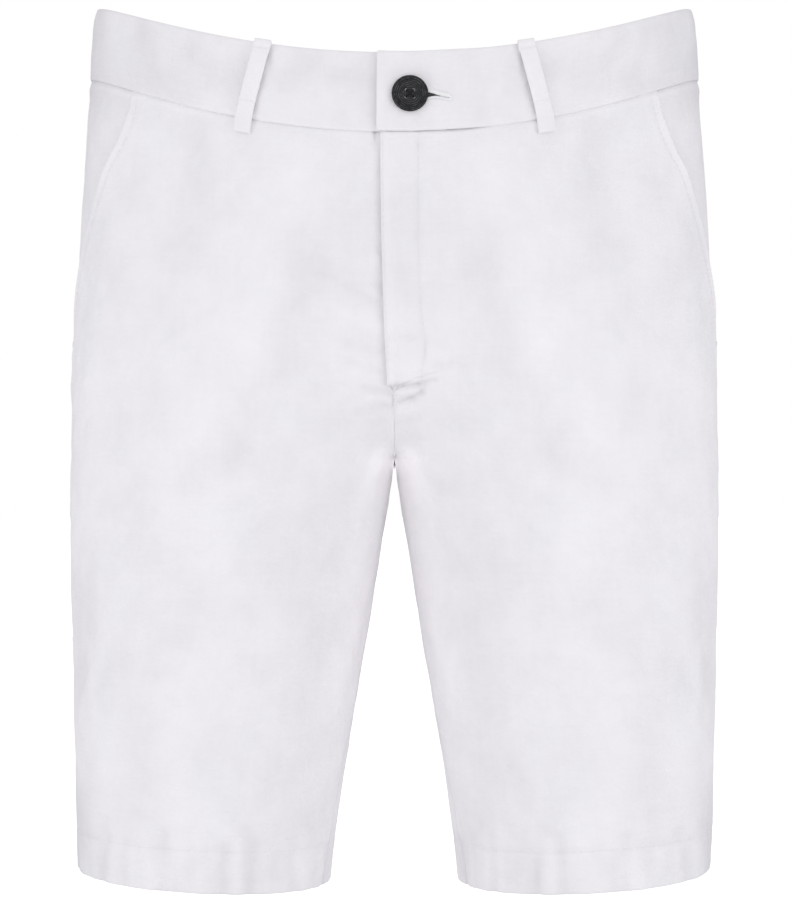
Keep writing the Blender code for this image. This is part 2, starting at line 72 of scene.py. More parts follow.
HIP = -180.0
CROTCH = -262.0
HEM_MIDDLE = -502.0
HEM_TILT = 4.0
HEM_DEPTH = 25.0
LEG_LENGTH = CROTCH - HEM_MIDDLE
TOP_SIDE = -1.4
TOP_FRONT_DIP = 38.1
TOP_BACK_DIP = 9.0
SEAM_SIDE = -42.2
SEAM_FRONT_DIP = 40.8
SEAM_BACK_DIP = 9.8
RISE_SQUARE_FRONT = 3.5
RISE_SQUARE_BACK = 2.4
SPLIT_START = 0.25
SPLIT_GIRTH = 0.13
INSEAM_FORWARD = 0.055
CENTRE_GIRTH = 0.22
SEAM_GAP = 0.1
CLEAR = 0.3             # between the waistband's lapping end and the other

FLY_BOTTOM = -222.0
FLY_STEP = 4.0
FLY_FADE = 22.0
LAP_FLAT = 12.0
LAP_FADE = 30.0
LAP_RISE = 1.5          # how far the lapping front stands over the other one
BAND_THICK = 2.4
BAND_PROUD = 0.5
BAND_LAP_TOP = -9.6
BAND_LAP_SEAM = -9.9
FLY_LAP_TOP = -7.8      # the lapping front's edge, from the waistband to its foot
FLY_LAP_FOOT = -4.2
FLY_FOOT = -222.8
FLY_START = 1.1         # the drops between which the fly bridges the centre's hollow
FLY_END = 1.9
BAND_UNDER_END = 28.0
BAND_LAP_FADE = 26.0

Pelvis = namedtuple("Pelvis", "height half_width front back square")
PELVIS = [
    Pelvis(0, 171.5, 104, 105, 2.10),
    Pelvis(-10, 174.0, 105, 107, 2.10),
    Pelvis(-41, 176.0, 108, 113, 2.15),
    Pelvis(-76, 178.6, 111, 122, 2.20),
    Pelvis(-111, 181.0, 114, 131, 2.20),
    Pelvis(-146, 183.3, 117, 139, 2.20),
    Pelvis(-181, 185.6, 119, 143, 2.20),
    Pelvis(-227, 187.4, 118, 138, 2.20),
    Pelvis(-262, 187.9, 114, 127, 2.20),
]
Leg = namedtuple("Leg", "height outer inner front back square square_in")
LEG = [
    Leg(-180, 185.6, -6.0, 116, 138, 2.20, 3.0),
    Leg(-262, 187.9, 0.0, 112, 124, 2.20, 3.0),
    Leg(-310, 187.9, 7.4, 108, 112, 2.20, 2.7),
    Leg(-356, 186.8, 14.6, 103, 102, 2.20, 2.4),
    Leg(-426, 185.0, 26.2, 95, 89, 2.15, 2.2),
    Leg(-470, 184.0, 32.6, 90, 82, 2.10, 2.1),
    Leg(-510, 182.3, 37.6, 87, 77, 2.10, 2.1),
]
PocketEdge = namedtuple("PocketEdge", "height degrees")
POCKET_EDGE = [
    PocketEdge(-50, 56.5),
    PocketEdge(-75, 59.5),
    PocketEdge(-98, 66.0),
    PocketEdge(-121, 71.5),
    PocketEdge(-160, 80.5),
    PocketEdge(-205, 90.0),
]
POCKET_BOTTOM = -205.0
POCKET_ROWS = (1.6, 7.0)    # the rows of stitches, from the opening's edge

# Soft troughs (depth below 0) and ridges, from one end to the other. half is 1 for the wearer's
# left, -1 for the right and 0 for both. These first ones are the frame's own.
Fold = namedtuple("Fold", "half girth_a height_a girth_b height_b width depth")
FOLDS = [
    Fold(0, 0.289, -62, 0.292, -150, 15, -2.0),
    Fold(0, 0.198, -86, 0.225, -195, 17, 1.6),
    Fold(0, 0.184, -150, 0.192, -195, 16, -1.6),
    Fold(0, 0.235, -260, 0.285, -276, 12, -1.8),
    Fold(0, 0.408, -322, 0.432, -382, 17, -3.0),
    Fold(1, 0.330, -300, 0.290, -345, 18, -1.4),
    Fold(-1, 0.335, -290, 0.285, -350, 18, -1.6),
    Fold(0, 0.110, -300, 0.135, -400, 20, -1.8),
    Fold(0, 0.650, -258, 0.830, -285, 15, -3.0),
    Fold(1, 0.600, -305, 0.740, -345, 18, -2.2),
    Fold(-1, 0.610, -315, 0.735, -352, 17, -2.4),
    Fold(0, 0.890, -305, 0.860, -390, 20, -2.0),
    Fold(1, 0.830, -110, 0.700, -160, 20, -1.8),
    Fold(-1, 0.840, -118, 0.710, -158, 20, -1.6),
    Fold(1, 0.700, -400, 0.640, -455, 18, -1.8),
    Fold(-1, 0.720, -395, 0.660, -450, 18, -1.8),
]
FOLD_GIRTH = 600.0


def smoothstep(value):
    value = np.clip(value, 0.0, 1.0)
    return value * value * (3.0 - 2.0 * value)


def mix(start, end, part):
    return start + (end - start) * part


def hill(value, width):
    """1 at 0, falling off to both sides within about a width."""
    return np.exp(-(value / width) ** 2)


def curve(table, column, height):
    """Read one column of a table at heights, on a smooth curve through its rows."""
    rows = sorted(table, key=lambda row: row.height)
    heights = np.array([row.height for row in rows], float)
    values = np.array([getattr(row, column) for row in rows], float)
    index = np.arange(len(rows))
    before = np.maximum(index - 1, 0)
    after = np.minimum(index + 1, len(rows) - 1)
    slopes = (values[after] - values[before]) / (heights[after] - heights[before])
    height = np.clip(height, heights[0], heights[-1])
    low = np.clip(np.searchsorted(heights, height, side="right"), 1, len(rows) - 1) - 1
    span = heights[low + 1] - heights[low]
    t = (height - heights[low]) / span
    climb = values[low + 1] - values[low]
    bend_low = slopes[low] * span - climb
    bend_high = climb - slopes[low + 1] * span
    return values[low] + t * climb + t * (1 - t) * (bend_low * (1 - t) + bend_high * t)


def squared(angle, square):
    """Unit ellipse points at angles, pushed out towards a square one."""
    across = np.sin(angle)
    along = np.cos(angle)
    reach = (np.abs(across) ** square + np.abs(along) ** square) ** (-1.0 / square)
    return across * reach, along * reach


def leg_point(girth, height):
    angle = 2 * np.pi * girth
    towards = np.cos(angle) > 0
    square = np.where(towards, curve(LEG, "square_in", height), curve(LEG, "square", height))
    along, across = squared(angle, square)
    outer = curve(LEG, "outer", height)
    inner = np.maximum(curve(LEG, "inner", height), 0.0)
    front = curve(LEG, "front", height)
    back = curve(LEG, "back", height)
    x = (outer + inner) / 2 - (outer - inner) / 2 * across
    y = (back - front) / 2 - (back + front) / 2 * along
    return np.stack(np.broadcast_arrays(x, y, height), axis=-1)


def reach_of(girth):
    """How far out towards the side a girth lies, as a part of the half width."""
    across = leg_point(girth, np.full(np.shape(girth), CROTCH))[..., 0]
    return np.clip(across / LEG[1].outer, 0.0, 1.0)


def pelvis_point(girth, height):
    reach = reach_of(girth)
    square = curve(PELVIS, "square", height)
    along = (1 - reach ** square) ** (1 / square)
    depth = np.where(girth < 0.5, -curve(PELVIS, "front", height), curve(PELVIS, "back", height))
    x = curve(PELVIS, "half_width", height) * reach
    return np.stack(np.broadcast_arrays(x, depth * along, height), axis=-1)


def top_edge(girth):
    dip = np.where(girth < 0.5, TOP_FRONT_DIP, TOP_BACK_DIP)
    return TOP_SIDE - dip * (1 - reach_of(girth) ** 2)


def band_seam(girth):
    dip = np.where(girth < 0.5, SEAM_FRONT_DIP, SEAM_BACK_DIP)
    return SEAM_SIDE - dip * (1 - reach_of(girth) ** 2)


def rise(girth, drop):
    """The crotch seam's way under: the parts of its height and of its depth that are done."""
    square = mix(RISE_SQUARE_FRONT, RISE_SQUARE_BACK, smoothstep(girth))
    fallen, left = squared(np.pi / 2 * np.clip(drop - 1, 0.0, 1.0), square)
    return fallen, 1 - left


def height_at(girth, drop):
    girth, drop = np.broadcast_arrays(np.asarray(girth, float), np.asarray(drop, float))
    seam = band_seam(girth)
    centre = 1.0 - smoothstep(np.minimum(girth, 1.0 - girth) / CENTRE_GIRTH)
    crotch = mix(HIP, CROTCH, mix(drop - 1, rise(girth, drop)[0], centre))
    hem = HEM_MIDDLE - HEM_TILT * np.cos(2 * np.pi * girth)
    return np.select(
        [drop < 0, drop < 1, drop < 2],
        [mix(seam, top_edge(girth), -drop), mix(seam, HIP, drop), crotch],
        mix(CROTCH, hem, drop - 2))


def bare_form(girth, drop):
    """Points of the left half's form, without its folds."""
    girth, drop = np.broadcast_arrays(np.asarray(girth, float), np.asarray(drop, float))
    above = drop < 2
    side = np.where(above & ((girth < 0) | (girth > 1)), -1.0, 1.0)
    mirrored = np.where(girth > 1, 2 - girth, np.abs(girth))
    girth = np.where(above, mirrored, girth % 1.0)
    height = height_at(girth, drop)
    beside = smoothstep(np.minimum(girth, 1 - girth) / SPLIT_GIRTH)
    split = smoothstep((drop - 1 - SPLIT_START) / (1 - SPLIT_START))
    parted = np.where(above, mix(rise(girth, drop)[1], split, beside), 1.0)
    parted = np.where(drop <= 1, 0.0, parted)[..., None]
    point = pelvis_point(girth, height) * (1 - parted) + leg_point(girth, height) * parted
    point[..., 0] *= side
    return point


NORMAL_REACH = 8.0
NORMAL_STEP = 0.004
NORMAL_TRIES = 30


def spot_beyond(girth, drop, way):
    """The form's points about NORMAL_REACH along the rows from places."""
    here = bare_form(girth, drop)
    there = here.copy()
    short = np.ones(here.shape[:-1], bool)
    for step in range(1, NORMAL_TRIES):
        spot = bare_form(girth + way * NORMAL_STEP * step, drop)
        there[short] = spot[short]
        short &= np.linalg.norm(there - here, axis=-1) < NORMAL_REACH
        if not short.any():
            break
    return there


def unit(vectors):
    return vectors / np.maximum(np.linalg.norm(vectors, axis=-1, keepdims=True), 1e-9)


def directions(girth, drop):
    """The form's outward, along-the-row and down-the-cloth directions."""
    girth, drop = np.broadcast_arrays(np.asarray(girth, float), np.asarray(drop, float))
    around = spot_beyond(girth, drop, 1) - spot_beyond(girth, drop, -1)
    down = down_cloth(girth, drop)
    return unit(np.cross(down, around)), unit(around), unit(down)


def down_cloth(girth, drop):
    """The form's way down the cloth at places."""
    return (bare_form(girth, np.minimum(drop + 0.01, 3.0))
            - bare_form(girth, np.maximum(drop - 0.01, -1.0)))


def sides_of(half, vectors):
    return vectors * np.array([half, 1.0, 1.0])


def segment_bump(across, height, fold_a, fold_b, width, depth, taper=False):
    """A soft trough or ridge around a straight line, both in millimetres of cloth."""
    run = (fold_b[0] - fold_a[0], fold_b[1] - fold_a[1])
    reach = (across - fold_a[0], height - fold_a[1])
    length = run[0] ** 2 + run[1] ** 2
    along = np.clip((reach[0] * run[0] + reach[1] * run[1]) / length, 0.0, 1.0)
    away = np.hypot(reach[0] - run[0] * along, reach[1] - run[1] * along) / width
    bump = depth * np.exp(-away * away)
    if taper:
        bump = bump * np.sin(np.pi * np.clip(along, 0.02, 0.98)) ** 0.7
    return bump


def folded(half, girth, height):
    """How far the folds push the cloth out at places."""
    total = np.zeros(np.shape(girth))
    for fold in FOLDS + FINE_FOLDS:
        if fold.half in (0, half):
            total = total + segment_bump(
                girth * FOLD_GIRTH, height, (fold.girth_a * FOLD_GIRTH, fold.height_a),
                (fold.girth_b * FOLD_GIRTH, fold.height_b), fold.width, fold.depth)
    return total


# Smaller folds than the frame has
FINE_FOLDS = [
    Fold(0, 0.150, -330, 0.105, -300, 8, -0.8),     # fanning out from the crotch
    Fold(1, 0.175, -285, 0.090, -268, 6, -0.7),
    Fold(-1, 0.190, -296, 0.085, -272, 7, -0.8),
    Fold(1, 0.205, -345, 0.130, -372, 9, 0.8),
    Fold(-1, 0.210, -335, 0.140, -380, 9, 0.7),
    Fold(-1, 0.170, -152, 0.040, -178, 4, -0.55),   # pulled towards the foot of the fly
    Fold(-1, 0.165, -166, 0.045, -190, 4, -0.50),
    Fold(-1, 0.140, -138, 0.060, -158, 5, -0.45),
    Fold(-1, 0.120, -196, 0.050, -206, 4, -0.45),
    Fold(1, 0.120, -186, 0.060, -204, 5, -0.35),
    Fold(0, 0.310, -205, 0.270, -255, 12, 1.0),     # the fronts of the thighs
    Fold(0, 0.250, -300, 0.235, -335, 11, 0.9),
    Fold(0, 0.330, -420, 0.300, -470, 13, -0.8),
    Fold(1, 0.240, -440, 0.210, -480, 11, -0.7),
    Fold(-1, 0.250, -430, 0.215, -476, 10, -0.7),
    Fold(0, 0.385, -120, 0.420, -175, 9, -0.8),     # along the pocket
    Fold(0, 0.560, -120, 0.600, -170, 13, -1.0),
    Fold(0, 0.620, -70, 0.640, -120, 12, -0.9),     # the backs, below the band
    Fold(0, 0.780, -70, 0.770, -115, 12, -0.8),
    Fold(1, 0.930, -225, 0.840, -262, 8, -0.9),     # out of the back of the crotch
    Fold(-1, 0.935, -218, 0.835, -256, 8, -0.9),
    Fold(0, 0.950, -262, 0.880, -320, 9, -0.9),
]


# ------------------------------------------------------------------------------- laying cloth

# A stop is one column or row of a sheet. The cloth's layers turn by angle about a centre, which
# is a lift from the sheet's face; a rim closes both faces towards each other instead.
Stop = namedtuple("Stop", "part inset centre angle rim way")


def plain(part):
    return Stop(part, 0.0, 0.0, 0.0, False, 0)


def turned_edge(way, wall, slack, run_back, steps=4, back_steps=3):
    """Stops round a pressed fold and back under the cloth, from the fold outwards."""
    centre = -(wall + slack / 2)
    part = 0.0 if way < 0 else 1.0
    stops = [Stop(part, 0.0, centre, math.pi * (i + 1) / steps, False, way) for i in range(steps)]
    stops += [Stop(part, run_back * (i + 1) / back_steps, centre, math.pi, False, way)
              for i in range(back_steps)]
    return stops


def rim_edge(way, wall, steps=3):
    part = 0.0 if way < 0 else 1.0
    return [Stop(part, 0.0, -wall / 2, math.radians(84) * (i + 1) / steps, True, way)
            for i in range(steps)]


def rimmed(wall, parts, steps=3):
    """Stops across a strip whose two sides are rounded edges."""
    return (rim_edge(-1, wall, steps)[::-1] + [plain(part) for part in parts]
            + rim_edge(1, wall, steps))


def bend(layer, stops):
    """Where layers go at stops: their lift from the face, and how far beyond the fold."""
    centre = np.array([stop.centre for stop in stops])
    angle = np.array([stop.angle for stop in stops])
    rim = np.array([stop.rim for stop in stops])
    way = np.array([stop.way for stop in stops])
    arm = layer - centre
    lift = centre + arm * np.cos(angle)
    beyond = np.where(rim, np.abs(arm), arm) * np.sin(angle) * way
    still = angle == 0
    return np.where(still, layer, lift), np.where(still, 0.0, beyond)


def read_rows(at, places, values):
    """Read values row by row, each on its own row's places."""
    return np.stack([np.interp(a, p, v) for a, p, v in zip(at, places, values)])


def run_of(points):
    """Lengths along rows of points, from their first."""
    steps = np.linalg.norm(np.diff(points, axis=1), axis=-1)
    return np.concatenate([np.zeros((len(points), 1)), np.cumsum(steps, axis=1)], axis=1)


SAMPLES = 620
MARGIN = 0.14           # the girth that rows are followed past a sheet's edges


class Sheet:
    """A grid of places for one cloth piece: a row and a column of stops."""

    def __init__(self, half, starts, ends, drops, across, down, wall, fold_reach, grain=None):
        self.half = half
        self.wall = wall
        self.across = across
        self.down = down
        drops = np.asarray(drops, float)[:, None]
        starts = np.asarray(starts, float)
        ends = np.asarray(ends, float)
        girths = np.linspace(0, 1, SAMPLES)[None, :]
        girths = mix((starts - MARGIN)[:, None], (ends + MARGIN)[:, None], girths)
        row_points = bare_form(girths, drops)
        lengths = run_of(row_points)
        first = read_rows(starts[:, None], girths, lengths)
        last = read_rows(ends[:, None], girths, lengths)
        part = np.array([stop.part for stop in across])[None, :]
        inset = np.array([stop.inset * -stop.way for stop in across])[None, :]
        run = mix(first + fold_reach, last - fold_reach, part) + inset
        self.along = run - first
        self.from_edge = np.minimum(run - first, last - run)
        self.girth = read_rows(run, lengths, girths)
        self.drop = np.broadcast_to(drops, self.girth.shape)
        self.point = bare_form(self.girth, self.drop)
        around = [read_rows(run + NORMAL_REACH, lengths, row_points[..., k])
                  - read_rows(run - NORMAL_REACH, lengths, row_points[..., k]) for k in range(3)]
        self.around = unit(np.stack(around, axis=-1))
        self.downward = unit(down_cloth(self.girth, self.drop))
        self.outward = unit(np.cross(self.downward, self.around))
        if grain is None:
            self.weft = self.along
            self.warp = self.drop * BAND_DEEP
        else:
            self.weft = self.level_run(run, grain)
            self.warp = -self.point[..., 2]
        self.lift = np.zeros(self.girth.shape)
        # Painted shade and painted highlights, in steps of the colour ramp: below 0 darker, above
        # 0 lighter
        self.shade = np.zeros(self.girth.shape)

    def level_run(self, run, grain):
        """Lengths of cloth across from the straight grain line at a girth, level all the way."""
        level = np.linalg.norm(np.diff(self.point[..., :2], axis=1), axis=-1)
        level = level * np.sign(np.diff(run, axis=1))
        level = np.concatenate([np.zeros((len(level), 1)), np.cumsum(level, axis=1)], axis=1)
        face = np.array([stop.angle == 0 for stop in self.across])
        grain = np.full((len(level), 1), grain)
        return level - read_rows(grain, self.girth[:, face], level[:, face])

    def crease(self, depth, tone=2.0, darkest=4.0):
        """Push the cloth out by depth, and paint its shading into the colour: painted shade in the
        creases' hollows, painted highlights on their ridges.
        """
        self.lift += depth
        self.shade += np.clip(depth * tone, -darkest, 2.5)

    def faces(self):
        """The outer and inner faces' points in metres."""
        base = self.point + self.outward * self.lift[..., None]
        found = []
        for face in (0.0, -self.wall):
            layer, aside = bend(np.full(self.girth.shape, face), self.across)
            turned = [bend(row, [stop] * len(row)) for row, stop in zip(layer, self.down)]
            lift = np.stack([row[0] for row in turned])
            beyond = np.stack([row[1] for row in turned])
            spot = (base + self.outward * lift[..., None] + self.around * aside[..., None]
                    + self.downward * beyond[..., None])
            spot = spot + np.array([SEAM_GAP / 2, 0, 0])
            found.append(sides_of(self.half, spot) * MM)
        return found


def graded(count, ease):
    """Parts from 0 to 1, closer together towards both ends."""
    even = np.linspace(0, 1, count + 1)
    return even - ease / (2 * np.pi) * np.sin(2 * np.pi * even)


def make_sheet_mesh(name, sheet, material):
    """The closed mesh of a sheet, with its cloth's own UV map in metres and its painted shade and
    highlights in the point attribute shade.
    """
    outer, inner = sheet.faces()
    rows, columns = sheet.girth.shape
    bm = bmesh.new()
    bmesh.ops.create_grid(bm, x_segments=columns - 1, y_segments=rows - 1, size=1.0)
    shade_of = bm.verts.layers.float.new("shade")
    row_of = bm.verts.layers.int.new("row")
    column_of = bm.verts.layers.int.new("column")
    for vert in bm.verts:
        vert[column_of] = round((vert.co.x + 1) / 2 * (columns - 1))
        vert[row_of] = round((1 - vert.co.y) / 2 * (rows - 1))
    front = list(bm.verts)
    copied = bmesh.ops.extrude_face_region(bm, geom=list(bm.faces))["geom"]
    uv = bm.loops.layers.uv.new("cloth")
    for face in bm.faces:
        for loop in face.loops:
            row, column = loop.vert[row_of], loop.vert[column_of]
            loop[uv].uv = (sheet.weft[row, column] * MM, sheet.warp[row, column] * MM)
        face.smooth = True
    for vert in front:
        vert.co = outer[vert[row_of], vert[column_of]]
        vert[shade_of] = sheet.shade[vert[row_of], vert[column_of]]
    for vert in copied:
        if isinstance(vert, bmesh.types.BMVert):
            vert.co = inner[vert[row_of], vert[column_of]]
    bm.verts.layers.int.remove(row_of)
    column_of = bm.verts.layers.int["column"]
    bm.verts.layers.int.remove(column_of)
    bmesh.ops.recalc_face_normals(bm, faces=list(bm.faces))
    if bm.calc_volume(signed=True) < 0:
        bmesh.ops.reverse_faces(bm, faces=list(bm.faces))
    return add_piece(name, bm, material)


def add_piece(name, bm, material):
    mesh = bpy.data.meshes.new(name)
    bm.to_mesh(mesh)
    bm.free()
    return add_mesh(name, mesh, material)


def add_mesh(name, mesh, material):
    mesh.materials.append(material)
    piece = bpy.data.objects.new(name, mesh)
    bpy.context.scene.collection.objects.link(piece)
    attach(piece, "root")
    return piece


# ------------------------------------------------------------------------------ small creases

def waves(point, seed, wavelength, count=26):
    """A smooth random field over places, from plane waves of about one length."""
    rng = np.random.default_rng(seed)
    total = np.zeros(point.shape[:-1])
    for _ in range(count):
        way = rng.normal(size=3)
        way /= np.linalg.norm(way)
        way *= 2 * np.pi / (wavelength * rng.uniform(0.7, 1.5))
        total += np.sin(point @ way + rng.uniform(0, 2 * np.pi))
    return total / math.sqrt(count / 2)


# The seeds and wavelengths of the fields that crumple the cloth, and how high their facets reach
LARGE_FACETS = (11, 62.0)
SMALL_FACETS = (23, 27.0)
CRUMPLED_PARTS = (37, 150.0)
FACET_TOP = 1.4


def crumpled(half, point):
    """Pressed-in creases all over, as linen keeps them: sharp valleys between soft facets."""
    spot = sides_of(half, point) * np.array([1.0, 1.0, 1.25])
    large, small = (np.minimum(np.abs(waves(spot, seed, length)), FACET_TOP)
                    for seed, length in (LARGE_FACETS, SMALL_FACETS))
    where = smoothstep(0.5 + 0.5 * waves(spot, *CRUMPLED_PARTS))
    return 0.32 * large + mix(0.06, 0.20, where) * small - 0.4


# Short creases over a stretch of cloth: their number, length, width, depth and leaning angle
Scatter = namedtuple("Scatter", "count length width depth lean")
PANEL_SCATTER = [
    Scatter(90, 34.0, 2.6, 0.30, 0.35),
    Scatter(60, 26.0, 2.2, 0.28, 2.5),
    Scatter(50, 40.0, 3.0, 0.28, 1.57),
]
BAND_SCATTER = [Scatter(110, 24.0, 2.6, 0.30, 1.5), Scatter(40, 46.0, 5.0, 0.45, 0.1)]
FLY_SCATTER = Scatter(60, 13.0, 2.4, 0.5, 0.5)
LEAN_SPREAD = 0.45


def scattered(sheet, seed, spec, box):
    """Short creases at random places of a box of the cloth, leaning about an angle."""
    rng = np.random.default_rng(seed)
    total = np.zeros(sheet.girth.shape)
    for _ in range(spec.count):
        across = rng.uniform(box[0], box[1])
        down = rng.uniform(box[2], box[3])
        angle = spec.lean + rng.normal() * LEAN_SPREAD
        reach = rng.uniform(0.5, 1.0) * spec.length / 2
        step = (math.cos(angle) * reach, math.sin(angle) * reach)
        total += segment_bump(
            sheet.weft, sheet.warp, (across - step[0], down - step[1]),
            (across + step[0], down + step[1]), spec.width * rng.uniform(0.7, 1.4),
            spec.depth * rng.uniform(0.4, 1.2) * rng.choice([-1.0, -1.0, 1.0]), taper=True)
    return total


# Across the front of each hem, from the centre: where it puckers, and how deeply
Pucker = namedtuple("Pucker", "across depth")
HEM_PUCKERS = [Pucker(*row) for row in (
    (40, -0.7), (46, -0.6), (51, 0.5), (56, -0.7), (79, -0.9), (86, 0.7), (94, -1.0),
    (106, 0.8), (121, -0.7), (128, -0.8), (137, 0.8), (150, -0.4), (165, -0.9))]
HEM_RIPPLE = 0.5        # the depth of the smaller ripples all round


def hem_puckers(sheet, seed):
    """Slanting ripples across the turned hem, uneven in spacing and depth."""
    rng = np.random.default_rng(seed)
    up = (3.0 - sheet.drop) * LEG_LENGTH
    total = np.zeros(sheet.girth.shape)
    across = sheet.weft.min() + rng.uniform(0, 8)
    while across < sheet.weft.max():
        depth = HEM_RIPPLE * rng.uniform(0.35, 1.2) * rng.choice([-1.0, 1.0])
        slant = rng.normal() * 5.0
        top = HEM_DEPTH * rng.uniform(0.75, 1.5)
        total += segment_bump(
            sheet.weft, up, (across, 3.0), (across + slant, top), rng.uniform(2.6, 5.0), depth)
        across += rng.uniform(6.0, 17.0)
    facing = sheet.point[..., 1] < -20
    for pucker in HEM_PUCKERS:
        slant = rng.normal() * 3.0
        total += facing * segment_bump(
            sheet.point[..., 0], up, (pucker.across, 2.0),
            (pucker.across + slant, rng.uniform(18, 34)), rng.uniform(2.6, 3.8), pucker.depth)
    return total


def seam_relief(sheet):
    """The dip at a panel's seamed edges and the step of the allowance behind it, with painted
    shade along the dip.
    """
    edge = sheet.from_edge
    sheet.lift += (0.34 * smoothstep(edge / 3.0) * (1 - smoothstep((edge - ALLOWANCE) / 2.5))
                   - 0.35 * hill(edge, 1.6))
    sheet.shade -= 2.5 * hill(edge, 1.3)


# What pulls at the foot of the fly, from the centre front and up from the waist. The first four
# numbers are the ends' distances across, and heights; the last two the width and depth.
Pull = namedtuple("Pull", "across_a height_a across_b height_b width depth")
FLY_FOOT_LEFT = [
    Pull(-5.0, -222.6, 13.0, -221.0, 1.4, -1.7),
    Pull(13.0, -221.0, 22.0, -218.6, 1.7, -0.9),
    Pull(-1.0, -214.0, 11.0, -212.5, 5.0, 0.7),
    Pull(1.0, -225.8, 12.0, -224.4, 1.8, 0.6),
    Pull(17.0, -219.8, 14.6, -226.0, 1.7, -0.7),
    Pull(14.6, -226.0, 9.0, -229.3, 1.8, -1.0),
    Pull(9.0, -229.3, 2.0, -230.0, 1.8, -0.8),
    Pull(4.0, -235.0, 11.0, -235.2, 3.0, 0.7),
    Pull(2.0, -241.8, 13.0, -239.8, 2.4, -0.6),
    Pull(-1.0, -195.0, 10.0, -195.5, 2.4, -0.6),
    Pull(22.0, -212.0, 34.0, -209.0, 2.4, -0.6),
    Pull(20.0, -204.0, 27.0, -206.0, 3.0, 0.5),
]
FLY_FOOT_RIGHT = [
    Pull(4.0, -241.0, 13.0, -242.0, 2.4, -0.5),
    Pull(3.0, -226.0, 16.0, -223.0, 2.2, -0.7),
    Pull(4.0, -233.0, 20.0, -236.0, 2.4, -0.6),
    Pull(3.0, -229.5, 14.0, -229.0, 2.0, 0.5),
    Pull(8.0, -214.0, 26.0, -209.0, 2.6, -0.5),
    Pull(9.0, -204.0, 30.0, -197.0, 2.8, -0.5),
    Pull(8.0, -190.0, 34.0, -179.0, 3.0, 0.45),
    Pull(10.0, -176.0, 40.0, -160.0, 2.6, -0.45),
]


def pulled(sheet, pulls):
    total = np.zeros(sheet.girth.shape)
    for pull in pulls:
        total += segment_bump(
            sheet.point[..., 0], sheet.point[..., 2], (pull.across_a, pull.height_a),
            (pull.across_b, pull.height_b), pull.width, pull.depth)
    return total * (sheet.point[..., 1] < 0)


# ---------------------------------------------------------------------------------- materials

class Channel:
    """A socket whose value can be used in a Python expression."""

    def __init__(self, shader, socket):
        self.shader = shader
        self.socket = socket

    def math(self, operation, *others):
        return self.shader.node("ShaderNodeMath", {"operation": operation}, [self, *others])

    def __add__(self, other):
        return self.math("ADD", other)

    def __radd__(self, other):
        return self.math("ADD", other)

    def __sub__(self, other):
        return self.math("SUBTRACT", other)

    def __rsub__(self, other):
        return self.shader.node("ShaderNodeMath", {"operation": "SUBTRACT"}, [other, self])

    def __mul__(self, other):
        return self.math("MULTIPLY", other)

    def __rmul__(self, other):
        return self.math("MULTIPLY", other)

    def __truediv__(self, other):
        return self.math("DIVIDE", other)

    def __pow__(self, other):
        return self.math("POWER", other)


class Shader:
    """The nodes of a new material or surround."""

    def __init__(self, owner):
        self.owner = owner
        self.owner.use_nodes = True
        self.tree = self.owner.node_tree

    def node(self, kind, settings=None, inputs=None, output=0):
        """Add a node, with its settings first and then its inputs' values or links."""
        node = self.tree.nodes.new(kind)
        for key, value in (settings or {}).items():
            if key == "stops":
                ramp = node.color_ramp.elements
                while len(ramp) < len(value):
                    ramp.new(0.5)
                for stop, (position, colour) in zip(ramp, value):
                    stop.position = position
                    stop.color = colour
            else:
                setattr(node, key, value)
        pairs = inputs.items() if isinstance(inputs, dict) else enumerate(inputs or [])
        for key, value in pairs:
            self.feed(node.inputs[key], value)
        return Channel(self, node.outputs[output])

    def feed(self, socket, value):
        if isinstance(value, Channel):
            self.tree.links.new(value.socket, socket)
        else:
            socket.default_value = value

    def finish(self, inputs, last="Principled BSDF"):
        """Feed the inputs of the last node, and hand back what the nodes belong to."""
        for key, value in inputs.items():
            self.feed(self.tree.nodes[last].inputs[key], value)
        return self.owner

    def noise(self, vector, scale, detail=2.0, roughness=0.5):
        return self.node("ShaderNodeTexNoise", {"noise_dimensions": "3D"},
                         {"Vector": vector, "Scale": scale, "Detail": detail,
                          "Roughness": roughness})

    def scaled(self, vector, factors):
        return self.node("ShaderNodeVectorMath", {"operation": "MULTIPLY"}, [vector, factors])

    def mixed(self, part, start, end):
        """A colour between two others."""
        return self.node("ShaderNodeMix", {"data_type": "RGBA"}, {0: part, 6: start, 7: end}, 2)

    def bump(self, height, distance, strength=1.0):
        return self.node("ShaderNodeBump", None,
                         {"Strength": strength, "Distance": distance, "Height": height})


THREAD_PITCH = 0.00062      # between the weave's threads
# How far the noises are squeezed along the weft and the warp, and which layer each one reads
YARN_WARP, YARN_WEFT = (1250.0, 75.0, 0.0), (85.0, 1150.0, 0.0)
SLUB_WARP, SLUB_WEFT = (420.0, 22.0, 3.0), (26.0, 400.0, 7.0)
PATCHES, BROAD_PATCHES, BLUSH = (42.0, 34.0, 1.0), (13.0, 10.0, 5.0), (24.0, 19.0, 11.0)
FINE_CRUMPLE, SOFT_CRUMPLE = (150.0, 175.0, 0.0), (62.0, 70.0, 2.0)
PAINTED_SHADE_TONE = 0.03           # of the colour ramp, for one step of the painted shade and highlights that a piece carries
COOL, WARM = (0.988, 0.996, 1.0, 1.0), (1.0, 0.985, 0.996, 1.0)


def linen_stops(colour):
    """The ramp from the deepest a colour gets, under random tone and painted shade, to its
    brightest.
    """
    return [(0.0, (colour[0] * 0.79, colour[1] * 0.79, colour[2] * 0.81, 1.0)),
            (0.6, (*colour, 1.0)),
            (1.0, (*[min(c * 1.10, 0.985) for c in colour], 1.0))]


